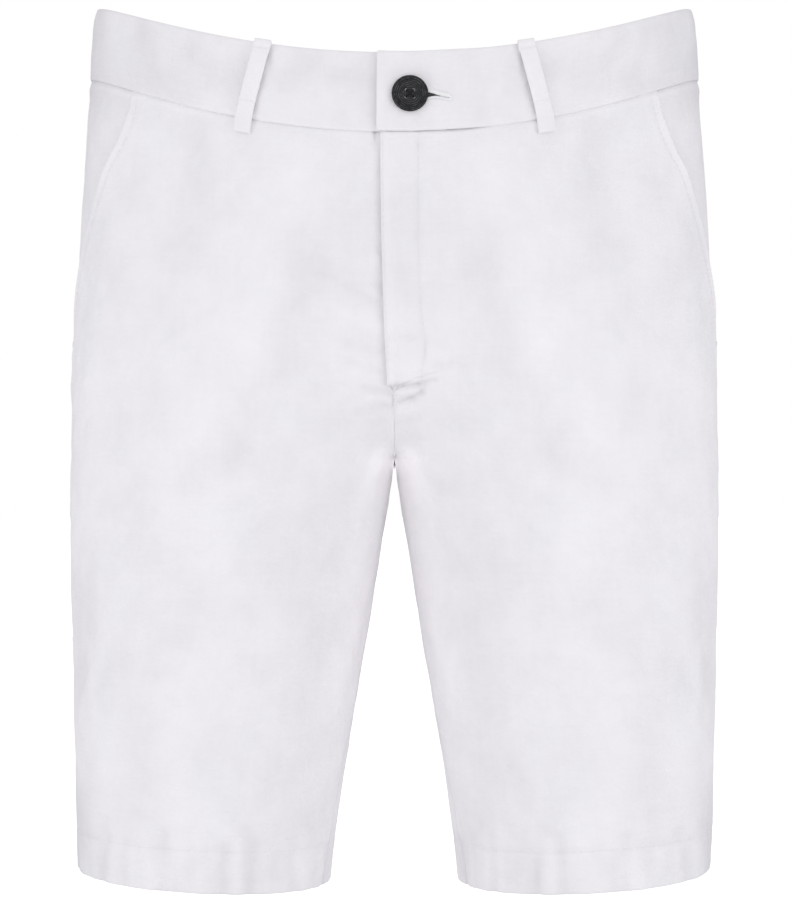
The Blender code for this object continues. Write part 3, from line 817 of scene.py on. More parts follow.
def make_linen(name, settings):
    """Slubby plain weave: uneven warp and weft yarns, softly mottled and crumpled, its colour
    darkened and lightened by each piece's painted shade and highlights.
    """
    s = Shader(bpy.data.materials.new(name))
    cloth = s.node("ShaderNodeUVMap", {"uv_map": "cloth"})
    # Each piece's painted shade and highlights, which darken and lighten its colour
    shade = s.node("ShaderNodeAttribute", {"attribute_name": "shade"}, None, 2)

    def uneven(squeeze, detail, roughness):
        return s.noise(s.scaled(cloth, squeeze), 1.0, detail, roughness)

    yarn = uneven(YARN_WARP, 2.0, 0.6) * 0.5 + uneven(YARN_WEFT, 2.0, 0.6) * 0.5
    slub = uneven(SLUB_WARP, 1.0, 0.5) * 0.5 + uneven(SLUB_WEFT, 1.0, 0.5) * 0.5
    patch = uneven(PATCHES, 3.0, 0.6)
    broad = uneven(BROAD_PATCHES, 1.0, 0.5)
    tone = (0.6 + (yarn - 0.5) * settings.yarn_shade + (slub - 0.5) * settings.slub_shade
            + (patch - 0.5) * settings.patch_shade + (broad - 0.5) * settings.patch_shade
            + shade * PAINTED_SHADE_TONE)
    colour = s.node("ShaderNodeValToRGB", {"stops": linen_stops(settings.linen_colour)}, [tone])
    warm = s.mixed((uneven(BLUSH, 2.0, 0.55) - 0.35) * 1.6, COOL, WARM)
    tinted = s.node("ShaderNodeMix", {"data_type": "RGBA", "blend_type": "MULTIPLY"},
                    {0: 1.0, 6: colour, 7: warm}, 2)
    u, v = (s.node("ShaderNodeSeparateXYZ", None, [cloth], axis) for axis in (0, 1))
    along = (u * (math.pi / THREAD_PITCH)).math("SINE")
    down = (v * (math.pi / THREAD_PITCH)).math("SINE")
    over = along.math("ABSOLUTE") * 0.5 + down.math("ABSOLUTE") * 0.5
    threads = along * down * 0.5 + over * 0.5
    crumple = ((uneven(FINE_CRUMPLE, 4.0, 0.6) - 0.5).math("ABSOLUTE") * 2.0
               + (uneven(SOFT_CRUMPLE, 2.0, 0.5) - 0.5).math("ABSOLUTE") * 3.0)
    height = threads * settings.weave + yarn * 0.5 + slub * 0.35 + crumple * settings.crumple
    return s.finish({"Base Color": tinted, "Roughness": 0.93 - 0.12 * yarn,
                     "Normal": s.bump(height, 0.00035, 0.8), "Sheen Weight": 0.015,
                     "Sheen Roughness": 0.6, "Specular IOR Level": 0.25})


def make_thread(name, colour, roughness=0.7):
    """Twisted sewing thread."""
    s = Shader(bpy.data.materials.new(name))
    place = s.node("ShaderNodeTexCoord", None, None, 3)
    fuzz = s.noise(place, 2600.0, 2.0, 0.5)
    dull = (*[c * 0.90 for c in colour], 1.0)
    return s.finish({"Base Color": s.mixed(fuzz, dull, (*colour, 1.0)),
                     "Roughness": roughness + 0.2 * fuzz, "Normal": s.bump(fuzz, 0.0001, 0.5),
                     "Specular IOR Level": 0.3})


SCORED_HIGHLIT = (0.16, 0.165, 0.17, 1.0)       # the resin where its fine rings are worn, painted lighter also as their highlights


def make_button(name, settings, centre, facing):
    """Turned resin: fine rings about the middle, faint clouding and a worn satin face; the worn
    rings are painted lighter, partly as their painted highlights.
    """
    s = Shader(bpy.data.materials.new(name))
    place = s.node("ShaderNodeTexCoord", None, None, 3)
    from_middle = s.node("ShaderNodeVectorMath", {"operation": "SUBTRACT"}, [place, tuple(centre)])
    height = s.node("ShaderNodeVectorMath", {"operation": "DOT_PRODUCT"},
                    [from_middle, tuple(facing)], 1)
    straight = s.node("ShaderNodeVectorMath", {"operation": "LENGTH"}, [from_middle], 1)
    across = (straight * straight - height * height).math("MAXIMUM", 0.0).math("SQRT")
    cloud = s.noise(place, 420.0, 4.0, 0.6)
    round_way = across + (s.noise(place, 150.0, 2.0, 0.5) - 0.5) * 0.0011
    rings = (round_way * (2 * math.pi / settings.ring_pitch)).math("SINE") * 0.5 + 0.5
    scored = (rings ** 5.0) * ((cloud - 0.42) * 5.0).math("MAXIMUM", 0.0).math("MINIMUM", 1.0)
    worn_and_highlit = scored * 0.55 + cloud * 0.10
    return s.finish({"Base Color": s.mixed(worn_and_highlit, (*settings.button_colour, 1.0), SCORED_HIGHLIT),
                     "Roughness": 0.34 + 0.25 * cloud, "Specular IOR Level": 0.22,
                     "Normal": s.bump(scored * -1.0 + cloud * 0.3, 0.00012, 0.7)})


# -------------------------------------------------------------------------------- the pieces

def inseam(drop):
    return INSEAM_FORWARD * np.maximum(np.asarray(drop, float) - 2, 0.0)


HALVINGS = 34


def halved(low, high, is_short):
    """The last places from low towards high that still fall short."""
    for _ in range(HALVINGS):
        middle = (low + high) / 2
        short = is_short(middle)
        low = np.where(short, middle, low)
        high = np.where(short, high, middle)
    return low


def girth_of(across, drop):
    """The front girths at distances across from the centre; past the centre they are below 0."""
    across, drop = np.broadcast_arrays(np.asarray(across, float), np.asarray(drop, float))
    girth = halved(np.zeros(across.shape), np.full(across.shape, 0.5),
                   lambda girth: bare_form(girth, drop)[..., 0] < np.abs(across))
    return np.copysign(girth, across)


def drop_at(girth, height):
    return float(halved(-1.0, 2.0, lambda drop: height_at(girth, drop) > height))


POCKET_GIRTH = 0.42     # near the middle of the opening


def pocket_edge(drop):
    """The girths where the pocket openings cut the fronts."""
    drop = np.asarray(drop, float)
    height = height_at(np.full(drop.shape, POCKET_GIRTH), drop)
    reach = np.sin(np.radians(curve(POCKET_EDGE, "degrees", height)))
    girth = halved(np.full(drop.shape, 0.25), np.full(drop.shape, 0.5),
                   lambda girth: reach_of(girth) < reach)
    return np.where(height < POCKET_BOTTOM, 0.5, girth)


def lap_across(height):
    """How far past the centre the lapping front's edge lies, at heights."""
    seam = band_seam(0.0)
    down = np.clip((seam - height) / (seam - FLY_BOTTOM), 0.0, 1.0)
    return mix(FLY_LAP_TOP, FLY_LAP_FOOT, down ** 2)


LAP_CLOSE = 2.8         # below its foot the edge turns back to the centre, over this
LAP_TURN = 1.1


def lap_edge(drop):
    """The girths, below 0, of the lapping front's edge; 0 below the fly."""
    drop = np.asarray(drop, float)
    height = height_at(np.zeros(drop.shape), np.maximum(drop, 0.0))
    still = 1 - smoothstep((FLY_FOOT - LAP_CLOSE - height) / LAP_TURN)
    return girth_of(lap_across(height), np.minimum(drop, FLY_END)) * still


def lap_lift(girth, drop):
    """How far the lapping front is raised over the other one."""
    across = bare_form(girth, drop)[..., 0]
    height = height_at(np.zeros(np.shape(drop)), drop)
    beside = 1 - smoothstep((across - LAP_FLAT) / LAP_FADE)
    below = 1 - smoothstep((FLY_BOTTOM - FLY_STEP + 1 - height) / FLY_FADE)
    return LAP_RISE * beside * below


PANEL_WALL = 0.5        # one layer of linen
PRESSED = 0.25          # slack inside a pressed fold
FOLD_REACH = PANEL_WALL + PRESSED / 2
ALLOWANCE = 11.0        # seam allowance, pressed open inside
FACING = 30.0           # the fly facing, turned under the lapping edge
HEM_THICK = 2.8


def panel_stops(count, start_back, end_back, ease=0.5):
    start = turned_edge(-1, PANEL_WALL, PRESSED, start_back)
    end = turned_edge(1, PANEL_WALL, PRESSED, end_back)
    return start[::-1] + [plain(part) for part in graded(count, ease)] + end


TOP_DROPS = [-0.09, -0.05, -0.02, *np.linspace(-0.008, 0.05, 13)]    # up inside the waistband
HEM_STITCHED = 3 - HEM_DEPTH / LEG_LENGTH
HEM_STEPS = (-0.012, -0.006, 0.0, 0.006, 0.012)         # about the row that holds the hem
HEM_BACK = (4.0, 10.0, 16.0, 21.0, HEM_DEPTH - 1.5)     # up the back of the turned hem


def panel_rows(upper, crotch, leg):
    """Drops and stops from just under the waistband to the turned hem's upper edge."""
    hem = 3 - HEM_THICK / 2 / LEG_LENGTH
    drops = list(TOP_DROPS)
    for start, end, count in upper + crotch + [(2.0, HEM_STITCHED - 0.02, leg)]:
        drops += list(np.linspace(start, end, count + 1))[1:]
    drops += [HEM_STITCHED + step for step in HEM_STEPS]
    drops += list(np.linspace(HEM_STITCHED + 0.02, hem, 9))
    edge = turned_edge(1, 0.0, HEM_THICK, 0.0, steps=6, back_steps=0)
    stops = [plain(0.0)] * len(drops) + edge + [edge[-1]] * len(HEM_BACK)
    drops += [hem] * len(edge) + [hem - up / LEG_LENGTH for up in HEM_BACK]
    return np.array(drops), stops


PANEL_HEIGHTS = (60, 505)   # of the cloth that short creases are scattered over


def fold_cloth(sheet):
    """The large folds and the crumpled facets, which fade out towards the waistband, with painted
    shade in their hollows and painted highlights on their ridges.
    """
    sheet.crease(folded(sheet.half, sheet.girth, sheet.point[..., 2]) * fold_fade(sheet))
    sheet.crease(crumpled(sheet.half, sheet.point) * smoothstep(sheet.drop / 0.10), 2.2)


def dress(sheet, seed):
    """Push a panel's folds, creases and hem ripples into its lift, and paint their shade into its
    colour.
    """
    fold_cloth(sheet)
    inside = smoothstep(sheet.from_edge / 9.0) * smoothstep((sheet.drop - 0.02) / 0.1)
    box = (sheet.weft.min(), sheet.weft.max(), *PANEL_HEIGHTS)
    fine = sum(scattered(sheet, seed + i, spec, box) for i, spec in enumerate(PANEL_SCATTER))
    sheet.crease(fine * inside, 2.0)
    seam_relief(sheet)
    sheet.crease(hem_puckers(sheet, seed + len(PANEL_SCATTER)), 5.0, 9)
    up = (3.0 - sheet.drop) * LEG_LENGTH
    held = np.clip(0.65 + 0.55 * waves(sides_of(sheet.half, sheet.point), 51, 45.0), 0.1, 1.3)
    stitched = hill(up - HEM_DEPTH + 1.0, 1.3) * held
    # A groove along the hem's row of stitches, with painted shade in it
    sheet.lift -= 0.45 * stitched
    sheet.shade -= 2.0 * stitched
    seamed_to_band(sheet)
    paint_form_shading(sheet)


# Painted highlights: where the cloth is painted lighter, as if it caught more of the light, and by
# how many steps of shade
Highlight = namedtuple("Highlight", "across height wide tall more")
PAINTED_HIGHLIGHTS = [
    Highlight(106, -221, 30, 36, 2.2),
    Highlight(140, -300, 26, 34, 2.4),
    Highlight(96, -300, 22, 30, 1.4),
    Highlight(108, -429, 36, 28, 2.6),
    Highlight(140, -150, 22, 44, 1.2),
]
# How many steps of painted shade darken the form's parts
THIGH_PAINTED_SHADE = 2.4            # the inner half of the thigh
INSEAM_PAINTED_SHADE = 1.6
SIDE_PAINTED_SHADE = 3.0             # along the whole side, and more towards its two ends
SIDE_TOP_PAINTED_SHADE = 6.0
SIDE_FOOT_PAINTED_SHADE = 11.0
HIP_TOP_PAINTED_SHADE = 7.0          # beside the pocket, below the waistband
WAIST_PAINTED_SHADE = 2.0
APEX = -267.0               # where the legs part
APEX_SUNK = 0.6


def paint_form_shading(sheet):
    """Paint the form's soft shading into the colour: painted shade inside the thighs, by the
    inseam, along the sides and at the waist, painted highlights on the fronts of the hips and
    thighs; and sink the cloth where the legs part.
    """
    across, height = sheet.point[..., 0], sheet.point[..., 2]
    girth = np.minimum(sheet.girth, 1 - sheet.girth)
    thigh = smoothstep((0.27 - girth) / 0.10) * smoothstep((-200 - height) / 70.0)
    inseam_side = smoothstep((CROTCH - height) / 40.0) * smoothstep((0.16 - girth) / 0.10)
    top = 1 - smoothstep((-60 - height) / 130.0)
    foot = smoothstep((-430 - height) / 40.0)
    hip_top = smoothstep((girth - 0.34) / 0.10) * (1 - smoothstep(sheet.drop / 0.22))
    sheet.shade -= THIGH_PAINTED_SHADE * thigh
    sheet.shade -= INSEAM_PAINTED_SHADE * inseam_side
    sheet.shade -= (smoothstep((girth - 0.375) / 0.09)
                    * (SIDE_PAINTED_SHADE + SIDE_TOP_PAINTED_SHADE * top + SIDE_FOOT_PAINTED_SHADE * foot))
    sheet.shade -= HIP_TOP_PAINTED_SHADE * hip_top
    sheet.shade -= WAIST_PAINTED_SHADE * (1 - smoothstep(sheet.drop / 0.14))
    for highlight in PAINTED_HIGHLIGHTS:
        sheet.shade += highlight.more * np.exp(-((across - highlight.across) / highlight.wide) ** 2
                                          - ((height - highlight.height) / highlight.tall) ** 2)
    sheet.lift -= APEX_SUNK * hill(height - APEX, 9.0) * smoothstep((0.09 - girth) / 0.05)


BAND_RIDGE = 0.6            # the ridge below the waistband's seam, and the dip at it
BAND_DIP = 0.6


def seamed_to_band(sheet):
    """The dip at the waistband's seam and the soft ridge below it, with a painted shadow line in
    the dip, darker near the lap, and a painted highlight along the ridge.
    """
    below = sheet.drop * 100.0
    sheet.lift += BAND_RIDGE * hill(below - 4.5, 2.4) - BAND_DIP * hill(below, 1.3)
    near_lap = hill(sheet.point[..., 0] - 14.0, 16.0) * (sheet.girth < 0.5)
    sheet.shade += 4.0 * hill(below - 2.8, 1.3)
    sheet.shade -= (4.0 + 6.0 * near_lap) * hill(below, 0.9)


def fold_fade(sheet):
    beside = smoothstep(np.minimum(sheet.girth, 1 - sheet.girth) / 0.03)
    return np.where(sheet.drop < 2, beside, 1.0) * smoothstep(sheet.drop / 0.12)


# Stretches of rows from drop to drop, with their counts: above the crotch, at it, and the leg's
FRONT_ROWS = ([(0.05, 1.0, 58), (1.0, 1.28, 13)], [(1.28, 1.46, 34), (1.46, 2.0, 30)], 104)
BACK_ROWS = ([(0.05, 1.0, 58), (1.0, 1.4, 18)], [(1.4, 2.0, 36)], 104)
PANEL_COLUMNS = 132
FRONT_GRAIN = 0.25      # the girths of the straight grain
BACK_GRAIN = 0.75
POCKET_GRAIN = 0.42
TURNED_SUNK = 1.8       # the facing's extra depth at the foot of the fly
UNDER_LAP_SUNK = 0.8
BESIDE_FLY = (95.0, 140.0, 150, 262)    # across and down the cloth that the fly crumples


def sew_front(name, half, linen):
    drops, down = panel_rows(*FRONT_ROWS)
    laps = half > 0
    starts = inseam(drops) + (lap_edge(drops) if laps else 0.0)
    across = panel_stops(PANEL_COLUMNS, FACING if laps else ALLOWANCE, ALLOWANCE)
    sheet = Sheet(half, starts, pocket_edge(drops), drops, across, down, PANEL_WALL, FOLD_REACH,
                  FRONT_GRAIN)
    bridge_centre(sheet)
    dress(sheet, 100 + half)
    # The creases at the fly's foot, with painted shade in their hollows and painted highlights on
    # their ridges
    sheet.crease(pulled(sheet, FLY_FOOT_LEFT if laps else FLY_FOOT_RIGHT), 6.0, 13)
    height = sheet.point[..., 2]
    over_foot = smoothstep((height - FLY_FOOT) / 1.5)
    if laps:
        lap_over(sheet, over_foot)
    else:
        lie_under(sheet, over_foot)
    turned_under = np.array([stop.inset > 2.0 for stop in across])
    sheet.lift -= TURNED_SUNK * turned_under * hill(height - FLY_BOTTOM, 12.0)
    gape(sheet)
    under_band(sheet)
    return make_sheet_mesh(name, sheet, linen)


def lap_over(sheet, over_foot):
    """Raise the lapping front, with a groove along its row of stitches and its soft pressed edge;
    painted shade in the groove and a painted highlight along the edge.
    """
    sheet.lift += lap_lift(sheet.girth, sheet.drop)
    low_row = hill(sheet.point[..., 2] + 207, 11.0)
    # A groove along the row of stitches, with painted shade in it
    sheet.crease((-0.5 - 0.4 * low_row) * hill(fly_row_distance(sheet), 1.7), 5.0, 8)
    sheet.lift += 0.5 * over_foot * hill(sheet.from_edge - 2.0, 2.5)
    # A painted highlight along the pressed edge
    sheet.shade += 1.8 * over_foot * hill(sheet.from_edge - 3.5, 3.0)


def lie_under(sheet, over_foot):
    """Sink the other front under the lap, with a painted shadow along the lap's edge, and crumple
    it beside the lap, with painted shade in the creases.
    """
    beyond = sheet.point[..., 0] + lap_across(sheet.point[..., 2])
    sheet.lift -= UNDER_LAP_SUNK * over_foot * (1 - smoothstep((beyond - 1.0) / 5.0))
    # A painted shadow along the lap's edge
    sheet.shade -= 4.5 * over_foot * hill(beyond - 0.4, 1.1)
    under_lap = sheet.point[..., 0] + BAND_LAP_SEAM
    # A short hollow just below the lapping end of the waistband, with a painted shadow in it
    stub = hill(sheet.drop - 0.015, 0.05) * hill(under_lap - 0.6, 1.3)
    sheet.crease(-1.0 * stub, 12.0, 14)
    sheet.crease(scattered(sheet, 7, FLY_SCATTER, BESIDE_FLY)
                 * smoothstep(sheet.from_edge / 8.0), 2.0)


BRIDGE = 13.0           # how far from the centre the fly is held flat
BRIDGE_HELD = 0.9


def bridge_centre(sheet):
    """Hold the fly flat over the hollow that starts at the centre seam above its foot."""
    face = np.array([stop.angle == 0 for stop in sheet.across])
    drops = sheet.drop[:, :1]
    beside = girth_of(np.full(drops.shape, BRIDGE), np.minimum(drops, FLY_END))
    x, y, height = (sheet.point[..., k] for k in range(3))
    behind = np.maximum(y - read_rows(beside, sheet.girth[:, face], y[:, face]), 0.0)
    held = smoothstep((height - FLY_BOTTOM + 12.0) / 14.0) * (sheet.drop < FLY_END)
    held = held * (1 - smoothstep((np.abs(x) - BRIDGE + 4) / 4.0))
    sheet.point = np.stack([x, y - BRIDGE_HELD * behind * held, height], axis=-1)
    flat = (held * smoothstep(behind / 3.0))[..., None]
    down = unit(np.gradient(sheet.point, axis=0))
    sheet.downward = unit(mix(sheet.downward, down, flat))
    sheet.around = unit(mix(sheet.around, np.array([1.0, 0.0, 0.0]), flat))
    turned = unit(np.cross(sheet.downward, sheet.around))
    sheet.outward = np.where(flat > 0, turned, sheet.outward)


POCKET_TOP = -62
POCKET_GAPE = 1.1


def gape(sheet):
    """The pocket opening's edge stands off a little between its tacks, with a painted shadow line
    along the groove at its inner row of stitches.
    """
    height = sheet.point[..., 2]
    open_part = smoothstep((POCKET_TOP - height) / 14.0)
    open_part = open_part * smoothstep((height - POCKET_BOTTOM - 12) / 22.0)
    to_edge = sheet.along.max(axis=1, keepdims=True) - sheet.along
    sheet.lift += POCKET_GAPE * open_part * (1 - smoothstep(to_edge / 12.0))
    # A groove along the inner row of stitches, with painted shade in it
    sheet.lift -= 0.35 * open_part * hill(to_edge - POCKET_ROWS[1] - 0.2, 1.0)
    sheet.shade -= 2.4 * open_part * hill(to_edge - POCKET_ROWS[1] - 0.2, 1.1)


FlyRow = namedtuple("FlyRow", "height across")
FLY_ROW = [
    FlyRow(-84, 12.8),
    FlyRow(-150, 13.0),
    FlyRow(-185, 14.6),
    FlyRow(-204, 16.8),
    FlyRow(-214, 15.4),
    FlyRow(-224, 14.2),
    FlyRow(-228.5, 9.5),
    FlyRow(-230.5, 4.0),
]


def fly_row_distance(sheet):
    """How far places are from the row of stitches that holds the fly's facing."""
    height = sheet.point[..., 2]
    away = np.abs(sheet.point[..., 0] - curve(FLY_ROW, "across", height))
    away = np.where(sheet.girth < 0, 99.0, away)
    return np.hypot(away, np.maximum(FLY_ROW[-1].height - height, 0.0))


def sew_back(name, half, linen):
    drops, down = panel_rows(*BACK_ROWS)
    across = panel_stops(PANEL_COLUMNS, ALLOWANCE, ALLOWANCE)
    sheet = Sheet(half, np.full(drops.shape, 0.5), 1.0 + inseam(drops), drops, across, down,
                  PANEL_WALL, FOLD_REACH, BACK_GRAIN)
    dress(sheet, 200 + half)
    to_inseam = sheet.along.max(axis=1, keepdims=True) - sheet.along
    # Painted shade along the inseam towards the hem, where the back turns away from the light
    sheet.shade -= (6.0 * hill(to_inseam, 3.0)
                    * smoothstep((sheet.drop - 2.45) / 0.25) * (sheet.girth > 0.9))
    under_band(sheet)
    return make_sheet_mesh(name, sheet, linen)


UNDER_BAND_SUNK = 0.9


def under_band(sheet):
    """Sink the cloth that runs up inside the waistband."""
    sheet.lift -= UNDER_BAND_SUNK * smoothstep(-(sheet.drop - 0.012) / 0.03)


POCKET_UNDER = 0.042    # the girth that runs on under the front
POCKET_SUNK = 1.8


def sew_pocket_side(name, half, linen):
    last = drop_at(0.5, POCKET_BOTTOM - 12)
    drops = np.concatenate([np.linspace(*span) for span in (
        (-0.09, -0.008, 4), (-0.004, 0.05, 12), (0.065, last, 68))])
    edge = pocket_edge(drops)
    across = [plain(part) for part in np.linspace(0, 1, 38)]
    across += turned_edge(1, PANEL_WALL, PRESSED, ALLOWANCE)
    sheet = Sheet(half, edge - POCKET_UNDER, np.full(drops.shape, 0.5), drops, across,
                  [plain(0.0)] * len(drops), PANEL_WALL, FOLD_REACH, POCKET_GRAIN)
    past = sheet.girth - edge[:, None]
    sunk = (1 - smoothstep((past - 0.004) / 0.045)) * mix(0.45, 1.0, smoothstep(sheet.drop / 0.2))
    fold_cloth(sheet)
    sheet.lift -= POCKET_SUNK * sunk
    # Painted shade over the pocket side piece, darkest along the opening's edge where it lies sunk
    # under the front
    sheet.shade -= 1.0 + 2.5 * (1 - smoothstep((past - 0.006) / 0.02))
    seamed_to_band(sheet)
    paint_form_shading(sheet)
    under_band(sheet)
    return make_sheet_mesh(name, sheet, linen)


UNDERLAP_WALL = 1.1     # cut double and folded
UNDERLAP_SUNK = 1.9
UNDERLAP_FOOT = -204
UNDERLAP_ENDS = (-14.0, 33.0)


def sew_underlap(name, linen):
    drops = np.linspace(0.02, drop_at(0.0, UNDERLAP_FOOT), 60)
    starts, ends = (girth_of(np.full(drops.shape, end), drops) for end in UNDERLAP_ENDS)
    across = rimmed(UNDERLAP_WALL, np.linspace(0, 1, 24))
    sheet = Sheet(1, starts, ends, drops, across, [plain(0.0)] * len(drops), UNDERLAP_WALL,
                  UNDERLAP_WALL / 2)
    sheet.lift -= UNDERLAP_SUNK
    return make_sheet_mesh(name, sheet, linen)


BAND_ROWS = [0.05, 0.09, 0.16, 0.25, 0.35, 0.45, 0.55, 0.65, 0.75, 0.84, 0.90, 0.935, 0.96, 0.985]
BAND_DEEP = 43.0
BAND_PUFF = 0.5
BAND_END_RISE = 1.1     # at the end of the lap
BAND_SIDE_PAINTED_SHADE = (18.0, 16.0)   # steps of painted shade at its top and at its seam, beside the hips
BAND_ROW_PAINTED_SHADE = 3.0     # steps of painted shade across its front, about this height
BAND_ROW_HEIGHT = -53.0

# Hollows pressed into the band. The one beside the button is under the lap on the left.
BAND_PULLS = [
    Pull(118.0, -38.0, 84.0, -46.0, 9.0, -0.8),
    Pull(30.0, -52.0, 13.0, -55.0, 5.0, -0.6),
    Pull(142.0, -20.0, 132.0, -48.0, 6.0, -0.6),
]
LAP_PULLS = [pull for pull in BAND_PULLS if pull.across_a > 60]


def band_stops():
    """Rows of the waistband between its two rounded edges."""
    rows = [(-1.0, stop) for stop in rim_edge(-1, BAND_THICK, 4)[::-1]]
    rows += [(-1.0 + part, plain(0.0)) for part in BAND_ROWS]
    rows += [(0.0, stop) for stop in rim_edge(1, BAND_THICK, 4)]
    return rows


def sew_waistband(name, half, linen):
    rows = band_stops()
    reach = BAND_THICK / 2 / BAND_DEEP
    drops = np.clip(np.array([drop for drop, _ in rows]), -1 + reach, -reach * 0.6)
    over = half > 0
    end = mix(BAND_LAP_TOP, BAND_LAP_SEAM, drops + 1) if over else -BAND_UNDER_END
    sheet = Sheet(half, girth_of(end, drops), np.full(drops.shape, 1.0), drops,
                  rimmed(BAND_THICK, graded(170, 0.35), 4), [stop for _, stop in rows],
                  BAND_THICK, BAND_THICK / 2)
    part = sheet.drop + 1
    sheet.lift += BAND_PROUD + BAND_PUFF * np.sin(np.pi * np.clip(part, 0, 1)) ** 0.5
    # Crumples and short creases, with painted shade in their hollows and painted highlights on
    # their ridges
    sheet.crease(0.6 * crumpled(half, sheet.point), 2.2)
    box = (0, sheet.along.max(), -BAND_DEEP, 0)
    for spec, seed, tone in zip(BAND_SCATTER, (300, 310), (3.6, 2.4)):
        sheet.crease(scattered(sheet, seed + half, spec, box), tone)
    paint_band_shading(sheet, part)
    # Hollows pressed into the band, with painted shade in them
    for pull in LAP_PULLS if over else BAND_PULLS:
        sheet.crease(pulled(sheet, [pull]), 6.0, 5)
    # A painted shadow in a narrow strip beside each belt loop
    for spec in BELT_LOOPS:
        if spec.half == half:
            middle = mix(spec.top_girth, spec.low_girth, part[:, :1])
            beside = read_rows(middle, sheet.girth, sheet.along) - sheet.along
            sheet.shade -= 5.0 * hill(beside - 5.6, 1.3)
    if over:
        across_mm = bare_form(np.minimum(sheet.girth, 0.5), sheet.drop)[..., 0]
        raised = 1 - smoothstep((across_mm - BAND_UNDER_END - 2) / BAND_LAP_FADE)
        sheet.lift += (BAND_THICK + CLEAR) * raised
        sheet.lift += BAND_END_RISE * (1 - smoothstep(sheet.along / 14.0))
    else:
        # A painted shadow on the band along the edge of the lapping end above it
        beyond = sheet.point[..., 0] + mix(BAND_LAP_TOP, BAND_LAP_SEAM, part)
        sheet.shade -= 8.0 * (sheet.point[..., 1] < 0) * hill(beyond - 0.5, 1.2)
    return make_sheet_mesh(name, sheet, linen)


def paint_band_shading(sheet, part):
    """Paint the waistband's soft shading into its colour: painted shade towards the sides and
    across its front.
    """
    girth = np.where(sheet.girth > 1, 2 - sheet.girth, np.abs(sheet.girth))
    beside = smoothstep((0.14 - np.abs(girth - 0.48)) / 0.14)
    sheet.shade -= 1.0 * smoothstep(part) * smoothstep((girth - 0.12) / 0.12)
    sheet.shade -= BAND_ROW_PAINTED_SHADE * hill(sheet.point[..., 2] - BAND_ROW_HEIGHT, 9.0)
    sheet.shade -= beside * mix(*BAND_SIDE_PAINTED_SHADE, smoothstep(part))


LOOP_WIDTH = 9.6
LOOP_WALL = 1.1
LOOP_BELOW = 10.5
LOOP_BOW = 1.8
LOOP_BACK = (3.0, 6.0)  # how far its two ends are turned back
LOOP_TOP = -1.03        # the drop of a loop's top fold
LOOP_ROW = 8.4          # the rows of stitches across it
LOOP_TACK_TOP = 5.5     # from a loop's top fold to the rows of stitches that hold its ends
LOOP_TACK_LOW = 37.5
BeltLoop = namedtuple("BeltLoop", "name half top_girth low_girth")
BELT_LOOPS = [
    BeltLoop("belt_loop_front_left", 1, 0.220, 0.2385),
    BeltLoop("belt_loop_front_right", -1, 0.220, 0.2385),
    BeltLoop("belt_loop_side_left", 1, 0.548, 0.548),
    BeltLoop("belt_loop_side_right", -1, 0.548, 0.548),
    BeltLoop("belt_loop_back", 1, 1.0, 1.0),
]


def girths_beside(girth, drop, distance):
    """The girths at a distance along the rows from others."""
    steps = np.arange(NORMAL_TRIES)[:, None] * math.copysign(NORMAL_STEP, distance)
    points = bare_form(girth[None, :] + steps, drop[None, :])
    lengths = np.concatenate([np.zeros((1, len(girth))),
                              np.cumsum(np.linalg.norm(np.diff(points, axis=0), axis=-1), axis=0)])
    return np.array([np.interp(abs(distance), lengths[:, i], girth[i] + steps[:, 0])
                     for i in range(len(girth))])


def loop_reach(spec):
    """The drop of a loop's foot, and the length of its face."""
    seam = float(band_seam(spec.low_girth))
    length = float(top_edge(spec.top_girth) - band_seam(spec.low_girth)) + LOOP_BELOW
    return drop_at(spec.low_girth, seam - LOOP_BELOW), length


def sew_belt_loop(spec, linen):
    """A folded strip, turned under at both ends and bowed between them."""
    low, length = loop_reach(spec)
    thick = 2 * LOOP_WALL + 0.2
    top, bottom = (turned_edge(way, 0.0, thick, 0.0, steps=6, back_steps=0) for way in (-1, 1))
    fold = thick / 2 / length
    face = np.linspace(fold, 1 - fold, 40)
    stops = [top[-1]] * 2 + top[::-1] + [plain(0.0)] * len(face) + bottom + [bottom[-1]] * 2
    parts = np.array([fold + back / length for back in LOOP_BACK[::-1]] + [fold] * len(top)
                     + list(face) + [1 - fold] * len(bottom)
                     + [1 - fold - back / length for back in LOOP_BACK])
    drops = mix(LOOP_TOP, low, parts)
    middle = mix(spec.top_girth, spec.low_girth, parts)
    starts, ends = (girths_beside(middle, drops, way * LOOP_WIDTH / 2) for way in (-1, 1))
    across = rimmed(LOOP_WALL, graded(14, 0.3))
    sheet = Sheet(spec.half, starts, ends, drops, across, stops, LOOP_WALL, LOOP_WALL / 2)
    down = parts * length
    held = 1 - smoothstep((np.minimum(parts, 1 - parts) * length - 7.0) / 8.0)
    on_band = 1 - smoothstep((down - (length - LOOP_BELOW - 3)) / 5.0)
    seat = BAND_PROUD + 0.3 + 0.3 * on_band
    sheet.lift += (seat + thick * held + (LOOP_BOW + LOOP_WALL) * (1 - held))[:, None]
    sheet.lift += 0.25 - 0.3 * hill(sheet.from_edge, 1.4)
    # Grooves and a ridge at the rows of stitches, with painted shade and highlight
    sheet.crease(-0.5 * hill(down - LOOP_TACK_TOP, 1.1)[:, None], 4.0)
    sheet.crease(0.5 * hill(down - LOOP_TACK_TOP + 2.6, 1.1)[:, None], 4.0)
    sheet.crease(-0.35 * hill(down - LOOP_TACK_LOW, 0.9)[:, None], 4.0)
    # A painted highlight: the loop is painted lighter than the band it stands off
    sheet.shade += 1.5
    return make_sheet_mesh(spec.name, sheet, linen)


# --------------------------------------------------------------------------------- stitching

SEARCH_FROM = 0.012     # how far out the search for the cloth under a stitch starts, in metres
SEARCH_LENGTH = 0.03


